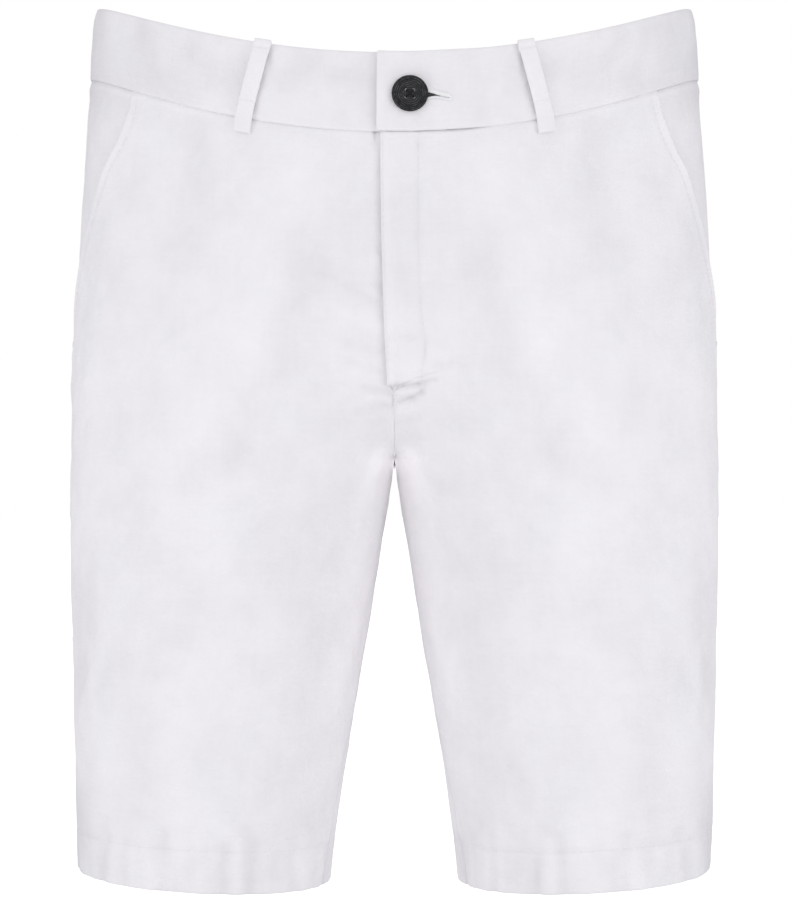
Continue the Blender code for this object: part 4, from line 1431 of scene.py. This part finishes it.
class Cloths:
    """The sewn pieces' surfaces, for laying stitches on them."""

    def __init__(self):
        self.trees = {}

    def add(self, name, piece):
        bm = bmesh.new()
        bm.from_mesh(piece.data)
        self.trees[name] = BVHTree.FromBMesh(bm)
        bm.free()

    def on(self, names, spot, facing):
        """The outermost point of some pieces along a line at a spot, and its direction."""
        best = None
        facing = Vector(facing)
        start = Vector(spot) + facing * SEARCH_FROM
        for name in names:
            hit, normal, _, distance = self.trees[name].ray_cast(start, -facing, SEARCH_LENGTH)
            if hit is not None and (best is None or distance < best[2]):
                best = (hit, normal, distance)
        return best


cloths = Cloths()


def path_places(half, girths, drops):
    """Points and outward directions of places, in metres."""
    girths = np.asarray(girths, float)
    drops = np.asarray(drops, float)
    point = bare_form(girths, drops) + np.array([SEAM_GAP / 2, 0, 0])
    outward = directions(girths, drops)[0]
    beside = girth_of(np.full(drops.shape, BRIDGE), np.minimum(drops, FLY_END))
    level = bare_form(beside, np.minimum(drops, FLY_END))[..., 1]
    behind = (np.abs(point[..., 0]) < BRIDGE) & (point[..., 1] > level)
    behind &= (drops > FLY_START) & (drops < FLY_END)
    point[behind, 1] = level[behind]
    outward[behind] = (0, -1, 0)
    return sides_of(half, point) * MM, sides_of(half, outward)


STITCH = 2.9
STITCH_GAP = 0.7
THREAD = 0.42


def lay_stitches(beads, names, half, girths, drops, length=STITCH, gap=STITCH_GAP):
    """Even stitches along a path of places, on the outermost cloth."""
    spots, facings = path_places(half, girths, drops)
    steps = np.linalg.norm(np.diff(spots, axis=0), axis=1) / MM
    run = np.concatenate([[0.0], np.cumsum(steps)])
    count = max(int(run[-1] / (length + gap)), 1)
    pitch = run[-1] / count
    for i in range(count):
        ends = []
        for at in (i * pitch + gap / 2, (i + 1) * pitch - gap / 2):
            spot = [np.interp(at, run, spots[:, k]) for k in range(3)]
            facing = [np.interp(at, run, facings[:, k]) for k in range(3)]
            found = cloths.on(names, spot, Vector(facing).normalized())
            if found is None:
                break
            ends.append(found)
        if len(ends) == 2:
            beads.lay(ends[0][0], ends[1][0], ends[0][1], THREAD)


class Beads:
    """Stitches that are laid one by one and then joined as copies of one small bead."""

    def __init__(self):
        self.places = []

    def lay(self, start, end, normal, thread, raised=0.10):
        """One stitch: a long bead that lies on the cloth between two points."""
        way = end - start
        if way.length < 1e-6:
            return
        x = way.normalized()
        z = (normal - x * normal.dot(x)).normalized()
        turn = Matrix((x, z.cross(x), z)).transposed().to_4x4()
        middle = (start + end) / 2 + z * raised * thread * MM
        shape = Matrix.Diagonal((way.length / 2, thread / 2 * MM, thread * 0.4 * MM, 1.0))
        self.places.append(Matrix.Translation(middle) @ turn @ shape)

    def join(self, name, material):
        bm = bmesh.new()
        bmesh.ops.create_uvsphere(bm, u_segments=6, v_segments=6, radius=1.0,
                                  matrix=Matrix.Rotation(math.radians(90), 4, "Y"))
        bead = bpy.data.meshes.new("bead")
        bm.to_mesh(bead)
        bm.free()
        return add_mesh(name, copies(name, bead, self.places), material)


def copies(name, small, places):
    """One mesh that holds a copy of a small one at every place."""
    spots = np.empty(len(small.vertices) * 3)
    corners = np.empty(len(small.loops), int)
    starts = np.empty(len(small.polygons), int)
    small.vertices.foreach_get("co", spots)
    small.loops.foreach_get("vertex_index", corners)
    small.polygons.foreach_get("loop_start", starts)
    spots = np.column_stack([spots.reshape(-1, 3), np.ones(len(small.vertices))])
    moved = np.einsum("kij,vj->kvi", np.array(places), spots)[..., :3]
    copy = np.arange(len(places))[:, None]
    mesh = bpy.data.meshes.new(name)
    mesh.vertices.add(moved.shape[0] * moved.shape[1])
    mesh.vertices.foreach_set("co", moved.ravel())
    mesh.loops.add(len(places) * len(corners))
    mesh.loops.foreach_set("vertex_index", (corners + copy * len(spots)).ravel())
    mesh.polygons.add(len(places) * len(starts))
    mesh.polygons.foreach_set("loop_start", (starts + copy * len(corners)).ravel())
    mesh.update(calc_edges=True)
    mesh.shade_smooth()
    bpy.data.meshes.remove(small)
    return mesh


def bar_tack(beads, names, half, girth, drop, angle, length, width=2.2, pitch=0.62):
    """A dense bar of stitches across a place, at an angle from the row's direction."""
    spot, facing = path_places(half, [girth], [drop])
    spot, facing = Vector(spot[0]), Vector(facing[0])
    side = Vector((0, 0, 1)).cross(facing).normalized() * half
    up = facing.cross(side).normalized() * half
    along = side * math.cos(angle) + up * math.sin(angle)
    over = facing.cross(along)
    count = round(length / pitch)
    for i in range(count):
        middle = spot + along * (i / (count - 1) - 0.5) * length * MM
        ends = [cloths.on(names, middle + over * way * width / 2 * MM, facing) for way in (-1, 1)]
        if all(ends):
            beads.lay(ends[0][0], ends[1][0], ends[0][1], 0.55, 0.3)


def zigzag(beads, names, top, bottom, left, right, pitch=0.85):
    """A tack of slanting stitches down the centre front, from side to side between heights."""
    count = round((top - bottom) / pitch)
    drops = np.array([drop_at(0.0, mix(top, bottom, i / count)) for i in range(count + 1)])
    across = np.where(np.arange(count + 1) % 2, left, right)
    spots, facings = path_places(1, girth_of(across, drops), drops)
    found = [cloths.on(names, spot, Vector(facing)) for spot, facing in zip(spots, facings)]
    for start, end in zip(found, found[1:]):
        if start and end:
            beads.lay(start[0], end[0], start[1], 0.5, 0.35)


CLOSING_THREAD = 1.2
CLOSING_SUNK = 0.3
BESIDE_CENTRE = 0.9
FLY_EDGE_ROW = 1.4      # the row of stitches, from the lapping front's edge
FLY_TACKS = (-224.5, -237.5, -1.7, 0.9)     # the heights and the sides of the zigzag below it


def close_seam(beads, name, spots, facings):
    """The sunk thread that closes a centre seam, along places just beside it."""
    sunk = []
    for spot, facing in zip(spots, facings):
        hit = cloths.on([name], spot, facing)
        if hit:
            below = hit[0] - Vector(facing) * CLOSING_SUNK * MM
            sunk.append((Vector((0, below.y, below.z)), Vector(facing)))
    for (start, _), (end, facing) in zip(sunk, sunk[2:]):
        beads.lay(start, end, facing, CLOSING_THREAD, 0.0)


def close_centre(beads):
    """The seam below the fly, and the whole back seam."""
    drops = np.linspace(1.38, 1.88, 40)
    spots = bare_form(girth_of(np.full(drops.shape, BESIDE_CENTRE), drops), drops)
    close_seam(beads, "front_left", spots * MM, np.tile((0.0, -1.0, 0.0), (len(drops), 1)))
    drops = np.linspace(0.02, 1.97, 120)
    centre = np.full(drops.shape, 0.998)
    spots = bare_form(centre, drops)
    spots[:, 0] = BESIDE_CENTRE
    close_seam(beads, "back_left", spots * MM, directions(centre, drops)[0])


def stitch_hem(beads, half, panels):
    girths = np.linspace(0.0, 1.0, 400)
    drop = 3 - (HEM_DEPTH - 1.0) / LEG_LENGTH
    lay_stitches(beads, panels, half, girths, np.full(girths.shape, drop))


def stitch_pocket(beads, half, front):
    """The two rows along an opening, and the bar tack at its foot."""
    drops = np.linspace(0.03, drop_at(0.45, POCKET_BOTTOM + 8), 90)
    for inset in POCKET_ROWS:
        girths = girths_beside(pocket_edge(drops), drops, -inset)
        lay_stitches(beads, [front], half, girths, drops)
    drop = np.array([drop_at(0.42, POCKET_BOTTOM + 10)])
    girth = float(girths_beside(pocket_edge(drop), drop, -4.0)[0])
    bar_tack(beads, [front], half, girth, drop[0], 0.35, 8.0)


def stitch_fly(beads, fronts):
    """The row that holds the facing, the row along the edge, and the tacks at the foot."""
    drops = np.linspace(0.03, drop_at(0.0, FLY_ROW[-3].height), 160)
    across = curve(FLY_ROW, "across", height_at(np.zeros(drops.shape), drops))
    lay_stitches(beads, fronts[:1], 1, girth_of(across, drops), drops)
    drops = np.linspace(0.02, drop_at(0.0, FLY_BOTTOM + 1), 100)
    lay_stitches(beads, fronts[:1], 1, girths_beside(lap_edge(drops), drops, FLY_EDGE_ROW), drops)
    zigzag(beads, fronts, *FLY_TACKS)


def stitch_loop(beads, spec):
    """The row across each end of a belt loop."""
    low, length = loop_reach(spec)
    for at in (LOOP_TACK_TOP, LOOP_TACK_LOW):
        girth = np.array([mix(spec.top_girth, spec.low_girth, at / length)])
        drop = np.array([mix(LOOP_TOP, low, at / length)])
        girths = np.array([girths_beside(girth, drop, way)[0]
                           for way in np.linspace(-LOOP_ROW / 2, LOOP_ROW / 2, 20)])
        lay_stitches(beads, [spec.name], spec.half, girths, np.full(20, drop[0]), 2.2, 0.5)


def sew_stitching(name, thread):
    """Every visible row of topstitching, and the bar tacks, as one piece of thread."""
    beads = Beads()
    for half, side in ((1, "left"), (-1, "right")):
        stitch_hem(beads, half, [f"front_{side}", f"back_{side}"])
        stitch_pocket(beads, half, f"front_{side}")
    fronts = ["front_left", "front_right"]
    stitch_fly(beads, fronts)
    close_centre(beads)
    bar_tack(beads, fronts, 1, 0.0, 1.62, 0.0, 4.0)
    for spec in BELT_LOOPS:
        stitch_loop(beads, spec)
    return beads.join(name, thread)


# ------------------------------------------------------------------------------------- button

# The button's turned section, from the middle of its back round to the middle of its face
ButtonStop = namedtuple("ButtonStop", "radius height")
BUTTON_SECTION = [ButtonStop(*stop) for stop in (
    (0.0, -1.30), (4.0, -1.30), (8.2, -1.28), (8.8, -1.16), (9.35, -0.85), (9.75, -0.40),
    (9.95, 0.15), (10.0, 0.60), (9.93, 1.05), (9.72, 1.40), (9.40, 1.62), (9.00, 1.70),
    (8.60, 1.64), (8.20, 1.46), (7.85, 1.20), (7.50, 0.96), (7.10, 0.82), (6.60, 0.76),
    (5.20, 0.68), (4.60, 0.56), (4.20, 0.44), (3.60, 0.40), (0.0, 0.40))]
HOLE_RADIUS = 0.95
HOLE_SPREAD = 2.0
DRILL = 8.0
BUTTON_BACK = 1.3       # from the button's back to where its section is measured from


def button_place():
    """The button's middle and facing, from the frame's own."""
    low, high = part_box("button")
    middle = (low + high) / 2
    co = np.array([vert.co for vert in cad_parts["button"].data.vertices])
    spread = np.linalg.svd(co - co.mean(0), full_matrices=False)[2][2]
    facing = Vector(spread)
    if facing.y > 0:
        facing.negate()
    reach = co @ np.array(facing)
    back = reach.min() + BUTTON_BACK * MM
    middle = middle + facing * (back - middle.dot(facing))
    return middle, facing


def button_frame():
    middle, facing = button_place()
    side = Vector((0, 0, 1)).cross(-facing).normalized()
    side = -side if side.x < 0 else side
    up = facing.cross(side)
    return Matrix.Translation(middle) @ Matrix((side, up, facing)).transposed().to_4x4()


def turn_button(name, material, place):
    bm = bmesh.new()
    verts = [bm.verts.new((stop.radius * MM, 0.0, stop.height * MM)) for stop in BUTTON_SECTION]
    edges = [bm.edges.new(pair) for pair in zip(verts, verts[1:])]
    bmesh.ops.spin(bm, geom=verts + edges, cent=(0, 0, 0), axis=(0, 0, 1), angle=2 * math.pi,
                   steps=96, use_merge=True)
    bmesh.ops.remove_doubles(bm, verts=list(bm.verts), dist=1e-7)
    bmesh.ops.recalc_face_normals(bm, faces=list(bm.faces))
    for face in bm.faces:
        face.smooth = True
    bmesh.ops.transform(bm, matrix=place, verts=list(bm.verts))
    piece = add_piece(name, bm, material)
    drill_holes(piece, place)
    piece.data.shade_smooth()
    piece.data.set_sharp_from_angle(angle=math.radians(42))
    return piece


def drill_holes(piece, place):
    """Cut the four holes out of the button."""
    drills = bmesh.new()
    for across in (-1, 1):
        for along in (-1, 1):
            spot = Matrix.Translation(Vector((across, along, 0)) * HOLE_SPREAD * MM)
            bmesh.ops.create_cone(drills, cap_ends=True, segments=28, radius1=HOLE_RADIUS * MM,
                                  radius2=HOLE_RADIUS * MM, depth=DRILL * MM, matrix=spot)
    bmesh.ops.transform(drills, matrix=place, verts=list(drills.verts))
    mesh = bpy.data.meshes.new("drills")
    drills.to_mesh(mesh)
    drills.free()
    cutter = bpy.data.objects.new("drills", mesh)
    bpy.context.scene.collection.objects.link(cutter)
    cut = piece.modifiers.new("holes", "BOOLEAN")
    cut.object = cutter
    cut.operation = "DIFFERENCE"
    cut.solver = "EXACT"
    bpy.context.view_layer.update()
    depsgraph = bpy.context.evaluated_depsgraph_get()
    drilled = bpy.data.meshes.new_from_object(piece.evaluated_get(depsgraph))
    piece.modifiers.clear()
    piece.data = drilled
    bpy.data.objects.remove(cutter)


TIE_TOP = 0.74          # the strands' middles, over the button's own
TIE_FOOT = -0.6
TIE_STEPS = 12
TIE_OVER = 0.22         # the upper stitch's rise over the lower one
STRANDS = (-0.34, 0.0, 0.34)
STRAND_RADIUS = 0.30


def strand_path(turn, offset):
    """A strand's way from hole to hole, down into both of them."""
    start, end = (Vector((way * HOLE_SPREAD - offset * turn * 0.7,
                          way * turn * HOLE_SPREAD + offset * 0.7, 0)) for way in (-1, 1))
    for i in range(TIE_STEPS + 1):
        spot = start.lerp(end, i / TIE_STEPS)
        arch = math.sin(math.pi * i / TIE_STEPS)
        top = TIE_TOP + (TIE_OVER if turn > 0 else 0.0) * arch
        spot.z = mix(TIE_FOOT, top, min(arch * 2.4, 1.0))
        yield spot


def tie_button(name, material, place):
    """Strands that cross between the four holes, down into them."""
    bm = bmesh.new()
    for turn in (1, -1):
        for offset in STRANDS:
            points = list(strand_path(turn, offset))
            for start, end in zip(points, points[1:]):
                strand(bm, start * MM, end * MM, STRAND_RADIUS)
    bmesh.ops.transform(bm, matrix=place, verts=list(bm.verts))
    for face in bm.faces:
        face.smooth = True
    return add_piece(name, bm, material)


def strand(bm, start, end, radius):
    """A short round length of thread that overlaps its neighbours."""
    way = end - start
    turn = way.to_track_quat("Z", "Y").to_matrix().to_4x4()
    shape = Matrix.Diagonal((radius * MM, radius * MM, way.length * 0.68, 1.0))
    bmesh.ops.create_uvsphere(bm, u_segments=8, v_segments=6, radius=1.0,
                              matrix=Matrix.Translation((start + end) / 2) @ turn @ shape)


# The buttonhole: distances across from the button's middle
SLIT_START = 7.0
SLIT_END = 15.2         # where its parting closes
LIP_START = 8.0
LIP_PITCH = 0.5
HOLE_END = 21.5
LIPS = ((-1, 1.3), (1, 2.6))            # each lip's side, and how far its stitches reach
LIP_HIGHLIGHT_ROWS = (2.6, 3.7, 4.8)          # painted highlight: bright strands along the raised cloth above the slit, each shorter than the one below it
LIP_HIGHLIGHT_START = 5.5
CORE = (9.8, 12.6)                      # the white core that fills the slit's first part


def slit_line(x):
    """The slit's middle, which sags away from the button."""
    return mix(-0.6, -2.2, float(smoothstep((x - 12.0) / 10.0)))


def parted(x):
    """Half the slit's width."""
    return 0.16 + 1.5 * max((SLIT_END - x) / 7.0, 0.0) ** 1.2


def along_slit(x):
    return (x, slit_line(x)), (x + 0.9, slit_line(x + 0.9))


def lip_stitches():
    """The worked stitches, with bright strands that paint the highlight on the raised cloth above
    the slit: both their ends, width and how far they are raised.
    """
    count = round((HOLE_END - LIP_START) / LIP_PITCH)
    for i in range(count + 1):
        x = mix(LIP_START, HOLE_END, i / count)
        for way, reach in LIPS:
            edge = slit_line(x) + way * parted(x)
            yield (x, edge), (x + 0.2, edge + way * reach), 0.7, 0.9
    y = slit_line(HOLE_END)
    for degrees in range(-80, 81, 20):
        across, up = math.cos(math.radians(degrees)), math.sin(math.radians(degrees))
        yield ((HOLE_END + 0.2 * across, y + 0.3 * up), (HOLE_END + 1.6 * across, y + 1.4 * up),
               0.62, 0.7)
    for out in LIP_HIGHLIGHT_ROWS:
        last = HOLE_END - 2.2 * out + 3.0
        places = [mix(LIP_HIGHLIGHT_START, last, i / 12) for i in range(13)]
        path = [(x, slit_line(x) + parted(x) + out * (0.4 + 0.6 * (last - x) / 10.0))
                for x in places]
        for near, far in zip(path, path[1:]):
            yield near, (far[0] + 0.3, far[1]), 0.7, 0.5
    for i in range(6):
        x = mix(*CORE, i / 6)
        yield *along_slit(x), 1.3 * parted(x) - 0.4, 0.35


def slit_shadow_strands():
    """A painted shadow in the parting between the lips: flat dark strands where the slit would
    show only shade.
    """
    for i in range(28):
        x = mix(SLIT_START, SLIT_END + 0.6, i / 28)
        yield *along_slit(x), 2.0 * parted(x) + 0.2, 0.02


def sew_buttonhole(name, thread, slit_shadow, place):
    """A worked slit beside the button: its lips part towards the button and close beyond it, with
    a painted shadow filling the parting.
    """
    facing = (place.to_3x3() @ Vector((0, 0, 1))).normalized()

    def sewn(piece, stitches, material):
        beads = Beads()
        for *ends, width, raised in stitches:
            near, far = (cloths.on(["waistband_left"], place @ Vector((x * MM, y * MM, 0)), facing)
                         for x, y in ends)
            if near and far:
                beads.lay(near[0], far[0], near[1], width, raised)
        return beads.join(piece, material)

    return sewn(name, lip_stitches(), thread), sewn(name + "_slit", slit_shadow_strands(), slit_shadow)


# ---------------------------------------------------------------------------------- settings

def tint_setting(name, description, default):
    return FloatVectorProperty(name=name, description=description, subtype="COLOR", size=3,
                               min=0.0, max=1.0, default=default)


def share_setting(name, description, default, most=1.0):
    return FloatProperty(name=name, description=description, subtype="FACTOR", min=0.0, max=most,
                         default=default)


def power_setting(name, description, default, most):
    return FloatProperty(name=name, description=description, unit="POWER", min=0.0, max=most,
                         default=default)


def length_setting(name, description, default, least, most):
    return FloatProperty(name=name, description=description, subtype="DISTANCE", unit="LENGTH",
                         min=least, max=most, default=default)


class ShortsClothSettings(bpy.types.PropertyGroup):
    linen_colour: tint_setting("Linen", "The cloth's own colour", (0.896, 0.879, 0.889))
    yarn_shade: share_setting("Yarns", "How much the single yarns differ in shade", 0.15)
    slub_shade: share_setting(
        "Slubs", "How much the thick places of the yarns differ in shade", 0.10)
    patch_shade: share_setting("Mottling", "How much patches of the cloth differ in shade", 0.42)
    weave: share_setting("Weave", "How strongly the crossing threads stand out", 0.12, 2.0)
    crumple: share_setting("Crumple", "How strongly the cloth's finest creases show", 1.4, 4.0)
    thread_colour: tint_setting("Thread", "The topstitching's colour", (0.90, 0.885, 0.91))


class ShortsButtonSettings(bpy.types.PropertyGroup):
    button_colour: tint_setting("Button", "The resin's colour", (0.006, 0.0065, 0.0075))
    tie_colour: tint_setting(
        "Button thread", "The thread that ties the button", (0.010, 0.010, 0.011))
    ring_pitch: length_setting(
        "Ring pitch", "Between the fine turned rings on the button's face", 0.00115, 0.0002, 0.003)


class ShortsStageSettings(bpy.types.PropertyGroup):
    floor_drop: length_setting("Floor", "How far below the waist the floor lies", 1.0, 0.52, 3.0)
    side_power: power_setting(
        "Side lights", "The power of each of the two lights beside it", 1.5, 100.0)
    front_power: power_setting(
        "Front light", "The power of the soft light straight in front", 2.0, 500.0)
    inner_power: power_setting(
        "Inner fill", "The power of the fill lights to each side between the legs", 0.010, 5.0)
    sky: share_setting("Surround", "How bright the light from all round is", 0.75, 2.0)


class ShortsSettings(bpy.types.PropertyGroup):
    cloth: PointerProperty(type=ShortsClothSettings, name="Cloth", description="The linen")
    button: PointerProperty(type=ShortsButtonSettings, name="Button", description="The button")
    stage: PointerProperty(type=ShortsStageSettings, name="Stage", description="The studio")


# ---------------------------------------------------------------------------------- operators

def declare(node):
    """Hide the frame's node that a cloth piece stands for."""
    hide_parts(node)


def linen_material(context):
    found = bpy.data.materials.get("linen_weave")
    return found or make_linen("linen_weave", context.scene.shorts.cloth)


def thread_material(context):
    found = bpy.data.materials.get("linen_thread")
    return found or make_thread("linen_thread", context.scene.shorts.cloth.thread_colour)


class SHORTS_OT_panels(bpy.types.Operator):
    """Sew the two fronts and the two backs, with their legs"""
    bl_idname = "shorts.panels"
    bl_label = "Fronts and backs"

    def execute(self, context):
        linen = linen_material(context)
        for side, half in (("left", 1), ("right", -1)):
            front = sew_front(f"linen_front_{side}", half, linen)
            declare(f"front_{side}")
            back = sew_back(f"linen_back_{side}", half, linen)
            declare(f"back_{side}")
            cloths.add(f"front_{side}", front)
            cloths.add(f"back_{side}", back)
        return {"FINISHED"}


class SHORTS_OT_hip_pieces(bpy.types.Operator):
    """Sew the pocket side pieces and the fly's underlap"""
    bl_idname = "shorts.hip_pieces"
    bl_label = "Pocket sides and fly underlap"

    def execute(self, context):
        linen = linen_material(context)
        for side, half in (("left", 1), ("right", -1)):
            piece = sew_pocket_side(f"linen_pocket_side_{side}", half, linen)
            declare(f"pocket_side_{side}")
        piece = sew_underlap("linen_fly_underlap", linen)
        declare("fly_underlap")
        return {"FINISHED"}


class SHORTS_OT_waistband(bpy.types.Operator):
    """Sew the two halves of the waistband"""
    bl_idname = "shorts.waistband"
    bl_label = "Waistband"

    def execute(self, context):
        linen = linen_material(context)
        for side, half in (("left", 1), ("right", -1)):
            band = sew_waistband(f"linen_waistband_{side}", half, linen)
            declare(f"waistband_{side}")
            cloths.add(f"waistband_{side}", band)
        return {"FINISHED"}


class SHORTS_OT_belt_loops(bpy.types.Operator):
    """Sew the five belt loops"""
    bl_idname = "shorts.belt_loops"
    bl_label = "Belt loops"

    def execute(self, context):
        linen = linen_material(context)
        for spec in BELT_LOOPS:
            loop = sew_belt_loop(spec._replace(name="linen_" + spec.name), linen)
            declare(spec.name)
            cloths.add(spec.name, loop)
        return {"FINISHED"}


class SHORTS_OT_stitching(bpy.types.Operator):
    """Lay the topstitching and bar tacks"""
    bl_idname = "shorts.stitching"
    bl_label = "Stitching"

    def execute(self, context):
        stitching = sew_stitching("topstitching", thread_material(context))
        return {"FINISHED"}


class SHORTS_OT_button(bpy.types.Operator):
    """Turn the button, tie it on and work its buttonhole"""
    bl_idname = "shorts.button"
    bl_label = "Button and buttonhole"

    def execute(self, context):
        settings = context.scene.shorts.button
        place = button_frame()
        facing = place.to_3x3() @ Vector((0, 0, 1))
        resin = make_button("button_resin", settings, place.translation, facing)
        button = turn_button("turned_button", resin, place)
        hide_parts("button")
        tie = tie_button("button_tie", make_thread("tie_thread", settings.tie_colour, 0.5), place)
        # The worked stitches' bright thread, which also paints the highlight above the slit
        bright = make_thread("buttonhole_thread", (0.98, 0.98, 0.985))
        # Dark strands that paint the shadow inside the slit
        slit_shadow = make_thread("buttonhole_parting", (0.05, 0.05, 0.055), 0.7)
        for piece in sew_buttonhole("buttonhole", bright, slit_shadow, place):
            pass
        return {"FINISHED"}


CAMERA_FROM = 1.66
CAMERA_HEIGHT = -0.2566
CAMERA_ASIDE = 0.0006
PIXELS_PER_MM = 1.715
IMAGE_HEIGHT = 900
SENSOR = 36.0
SKY = (0.975, 0.97, 1.0)
FLOOR_REACH = 30.0
# Lights in front: where each stands, how far aside it aims, its size and whose power it has
Softbox = namedtuple("Softbox", "x y aside wide tall power")
SOFTBOXES = [
    Softbox(-0.72, -0.62, -0.06, 0.45, 1.1, "side_power"),
    Softbox(0.72, -0.62, 0.06, 0.45, 1.1, "side_power"),
    Softbox(0.0, -2.0, 0.0, 0.4, 0.6, "front_power"),
]
# Lights between the legs, that shine both ways
InnerFill = namedtuple("InnerFill", "top foot wide share")
INNER_FILLS = [
    InnerFill(-0.2575, -0.268, 0.10, 0.10),
    InnerFill(-0.268, -0.290, 0.10, 0.09),
    InnerFill(-0.290, -0.340, 0.12, 0.22),
    InnerFill(-0.340, -0.510, 0.14, 0.66),
]
INNER_FRONT = 0.015


def put(scene, name, data, spot, turn):
    thing = bpy.data.objects.new(name, data)
    thing.location = spot
    thing.rotation_euler = turn
    scene.collection.objects.link(thing)
    return thing


def add_light(scene, name, energy, size, spot, turn):
    """A soft rectangular light that isn't seen itself."""
    light = bpy.data.lights.new(name, "AREA")
    light.energy = energy
    light.shape = "RECTANGLE"
    light.size, light.size_y = size
    lamp = put(scene, name, light, spot, turn)
    lamp.visible_camera = False
    return lamp


def set_camera(scene):
    camera = bpy.data.cameras.new("camera")
    camera.sensor_width = SENSOR
    camera.sensor_height = SENSOR
    camera.sensor_fit = "VERTICAL"
    camera.lens = SENSOR * PIXELS_PER_MM * CAMERA_FROM / MM / IMAGE_HEIGHT
    spot = (CAMERA_ASIDE, -CAMERA_FROM, CAMERA_HEIGHT)
    return put(scene, "camera", camera, spot, (math.radians(90), 0, 0))


def set_lights(scene, settings):
    for box in SOFTBOXES:
        spot = Vector((box.x, box.y, CAMERA_HEIGHT))
        aim = Vector((box.aside, -0.05, CAMERA_HEIGHT)) - spot
        add_light(scene, "softbox", getattr(settings, box.power), (box.wide, box.tall), spot,
                  aim.to_track_quat("-Z", "Y").to_euler())
    for way in (-1, 1):
        for fill in INNER_FILLS:
            spot = (0.0, INNER_FRONT - fill.wide / 2, (fill.top + fill.foot) / 2)
            lamp = add_light(scene, "inner_fill", settings.inner_power * fill.share,
                             (fill.top - fill.foot, fill.wide), spot,
                             (0, math.radians(90 * way), 0))
            lamp.visible_glossy = False


def set_surround(scene, strength):
    """Plain white behind the garment, and an even soft light from all round."""
    s = Shader(bpy.data.worlds.new("studio"))
    lit, shown = (s.node("ShaderNodeBackground", None, {"Color": tint, "Strength": bright})
                  for tint, bright in (((*SKY, 1), strength), ((1, 1, 1, 1), 1.0)))
    seen = s.node("ShaderNodeLightPath")
    light = s.node("ShaderNodeMixShader", None, [seen, lit, shown])
    scene.world = s.finish({"Surface": light}, "World Output")


def set_floor(scene, drop):
    bm = bmesh.new()
    bmesh.ops.create_grid(bm, x_segments=2, y_segments=2, size=FLOOR_REACH)
    bmesh.ops.translate(bm, vec=(0, 0, -drop), verts=list(bm.verts))
    mesh = bpy.data.meshes.new("floor")
    bm.to_mesh(mesh)
    bm.free()
    s = Shader(bpy.data.materials.new("studio_floor"))
    mesh.materials.append(s.finish({"Base Color": (0.5, 0.5, 0.5, 1), "Roughness": 1.0,
                                    "Emission Color": (1, 1, 1, 1), "Emission Strength": 0.9}))
    floor = put(scene, "floor", mesh, (0, 0, 0), (0, 0, 0))
    floor.visible_diffuse = False
    floor.visible_glossy = False
    return floor


class SHORTS_OT_stage(bpy.types.Operator):
    """Set the floor, the soft lights and the camera"""
    bl_idname = "shorts.stage"
    bl_label = "Stage"

    def execute(self, context):
        settings = context.scene.shorts.stage
        scene = context.scene
        scene.view_settings.view_transform = "Standard"
        scene.camera = set_camera(scene)
        set_lights(scene, settings)
        set_surround(scene, settings.sky)
        floor = set_floor(scene, settings.floor_drop)
        return {"FINISHED"}


class SHORTS_PT_panel(bpy.types.Panel):
    """Lists the garment's pieces and settings"""
    bl_idname = "SHORTS_PT_panel"
    bl_label = "Shorts"
    bl_space_type = "VIEW_3D"
    bl_region_type = "UI"
    bl_category = "Shorts"

    def draw(self, context):
        settings = context.scene.shorts
        for group in (settings.cloth, settings.button, settings.stage):
            for name in type(group).__annotations__:
                self.layout.prop(group, name)
        for operator in OPERATORS:
            self.layout.operator(operator.bl_idname)


OPERATORS = (SHORTS_OT_panels, SHORTS_OT_hip_pieces, SHORTS_OT_waistband, SHORTS_OT_belt_loops,
             SHORTS_OT_stitching, SHORTS_OT_button, SHORTS_OT_stage)
CLASSES = (ShortsClothSettings, ShortsButtonSettings, ShortsStageSettings, ShortsSettings,
           *OPERATORS, SHORTS_PT_panel)


def register():
    for cls in CLASSES:
        bpy.utils.register_class(cls)
    bpy.types.Scene.shorts = PointerProperty(type=ShortsSettings)


def unregister():
    del bpy.types.Scene.shorts
    for cls in reversed(CLASSES):
        bpy.utils.unregister_class(cls)


def main():
    register()
    for operator in OPERATORS:
        group, name = operator.bl_idname.split(".")
        getattr(getattr(bpy.ops, group), name)()
    bpy.context.view_layer.update()


if __name__ == "__main__":
    main()
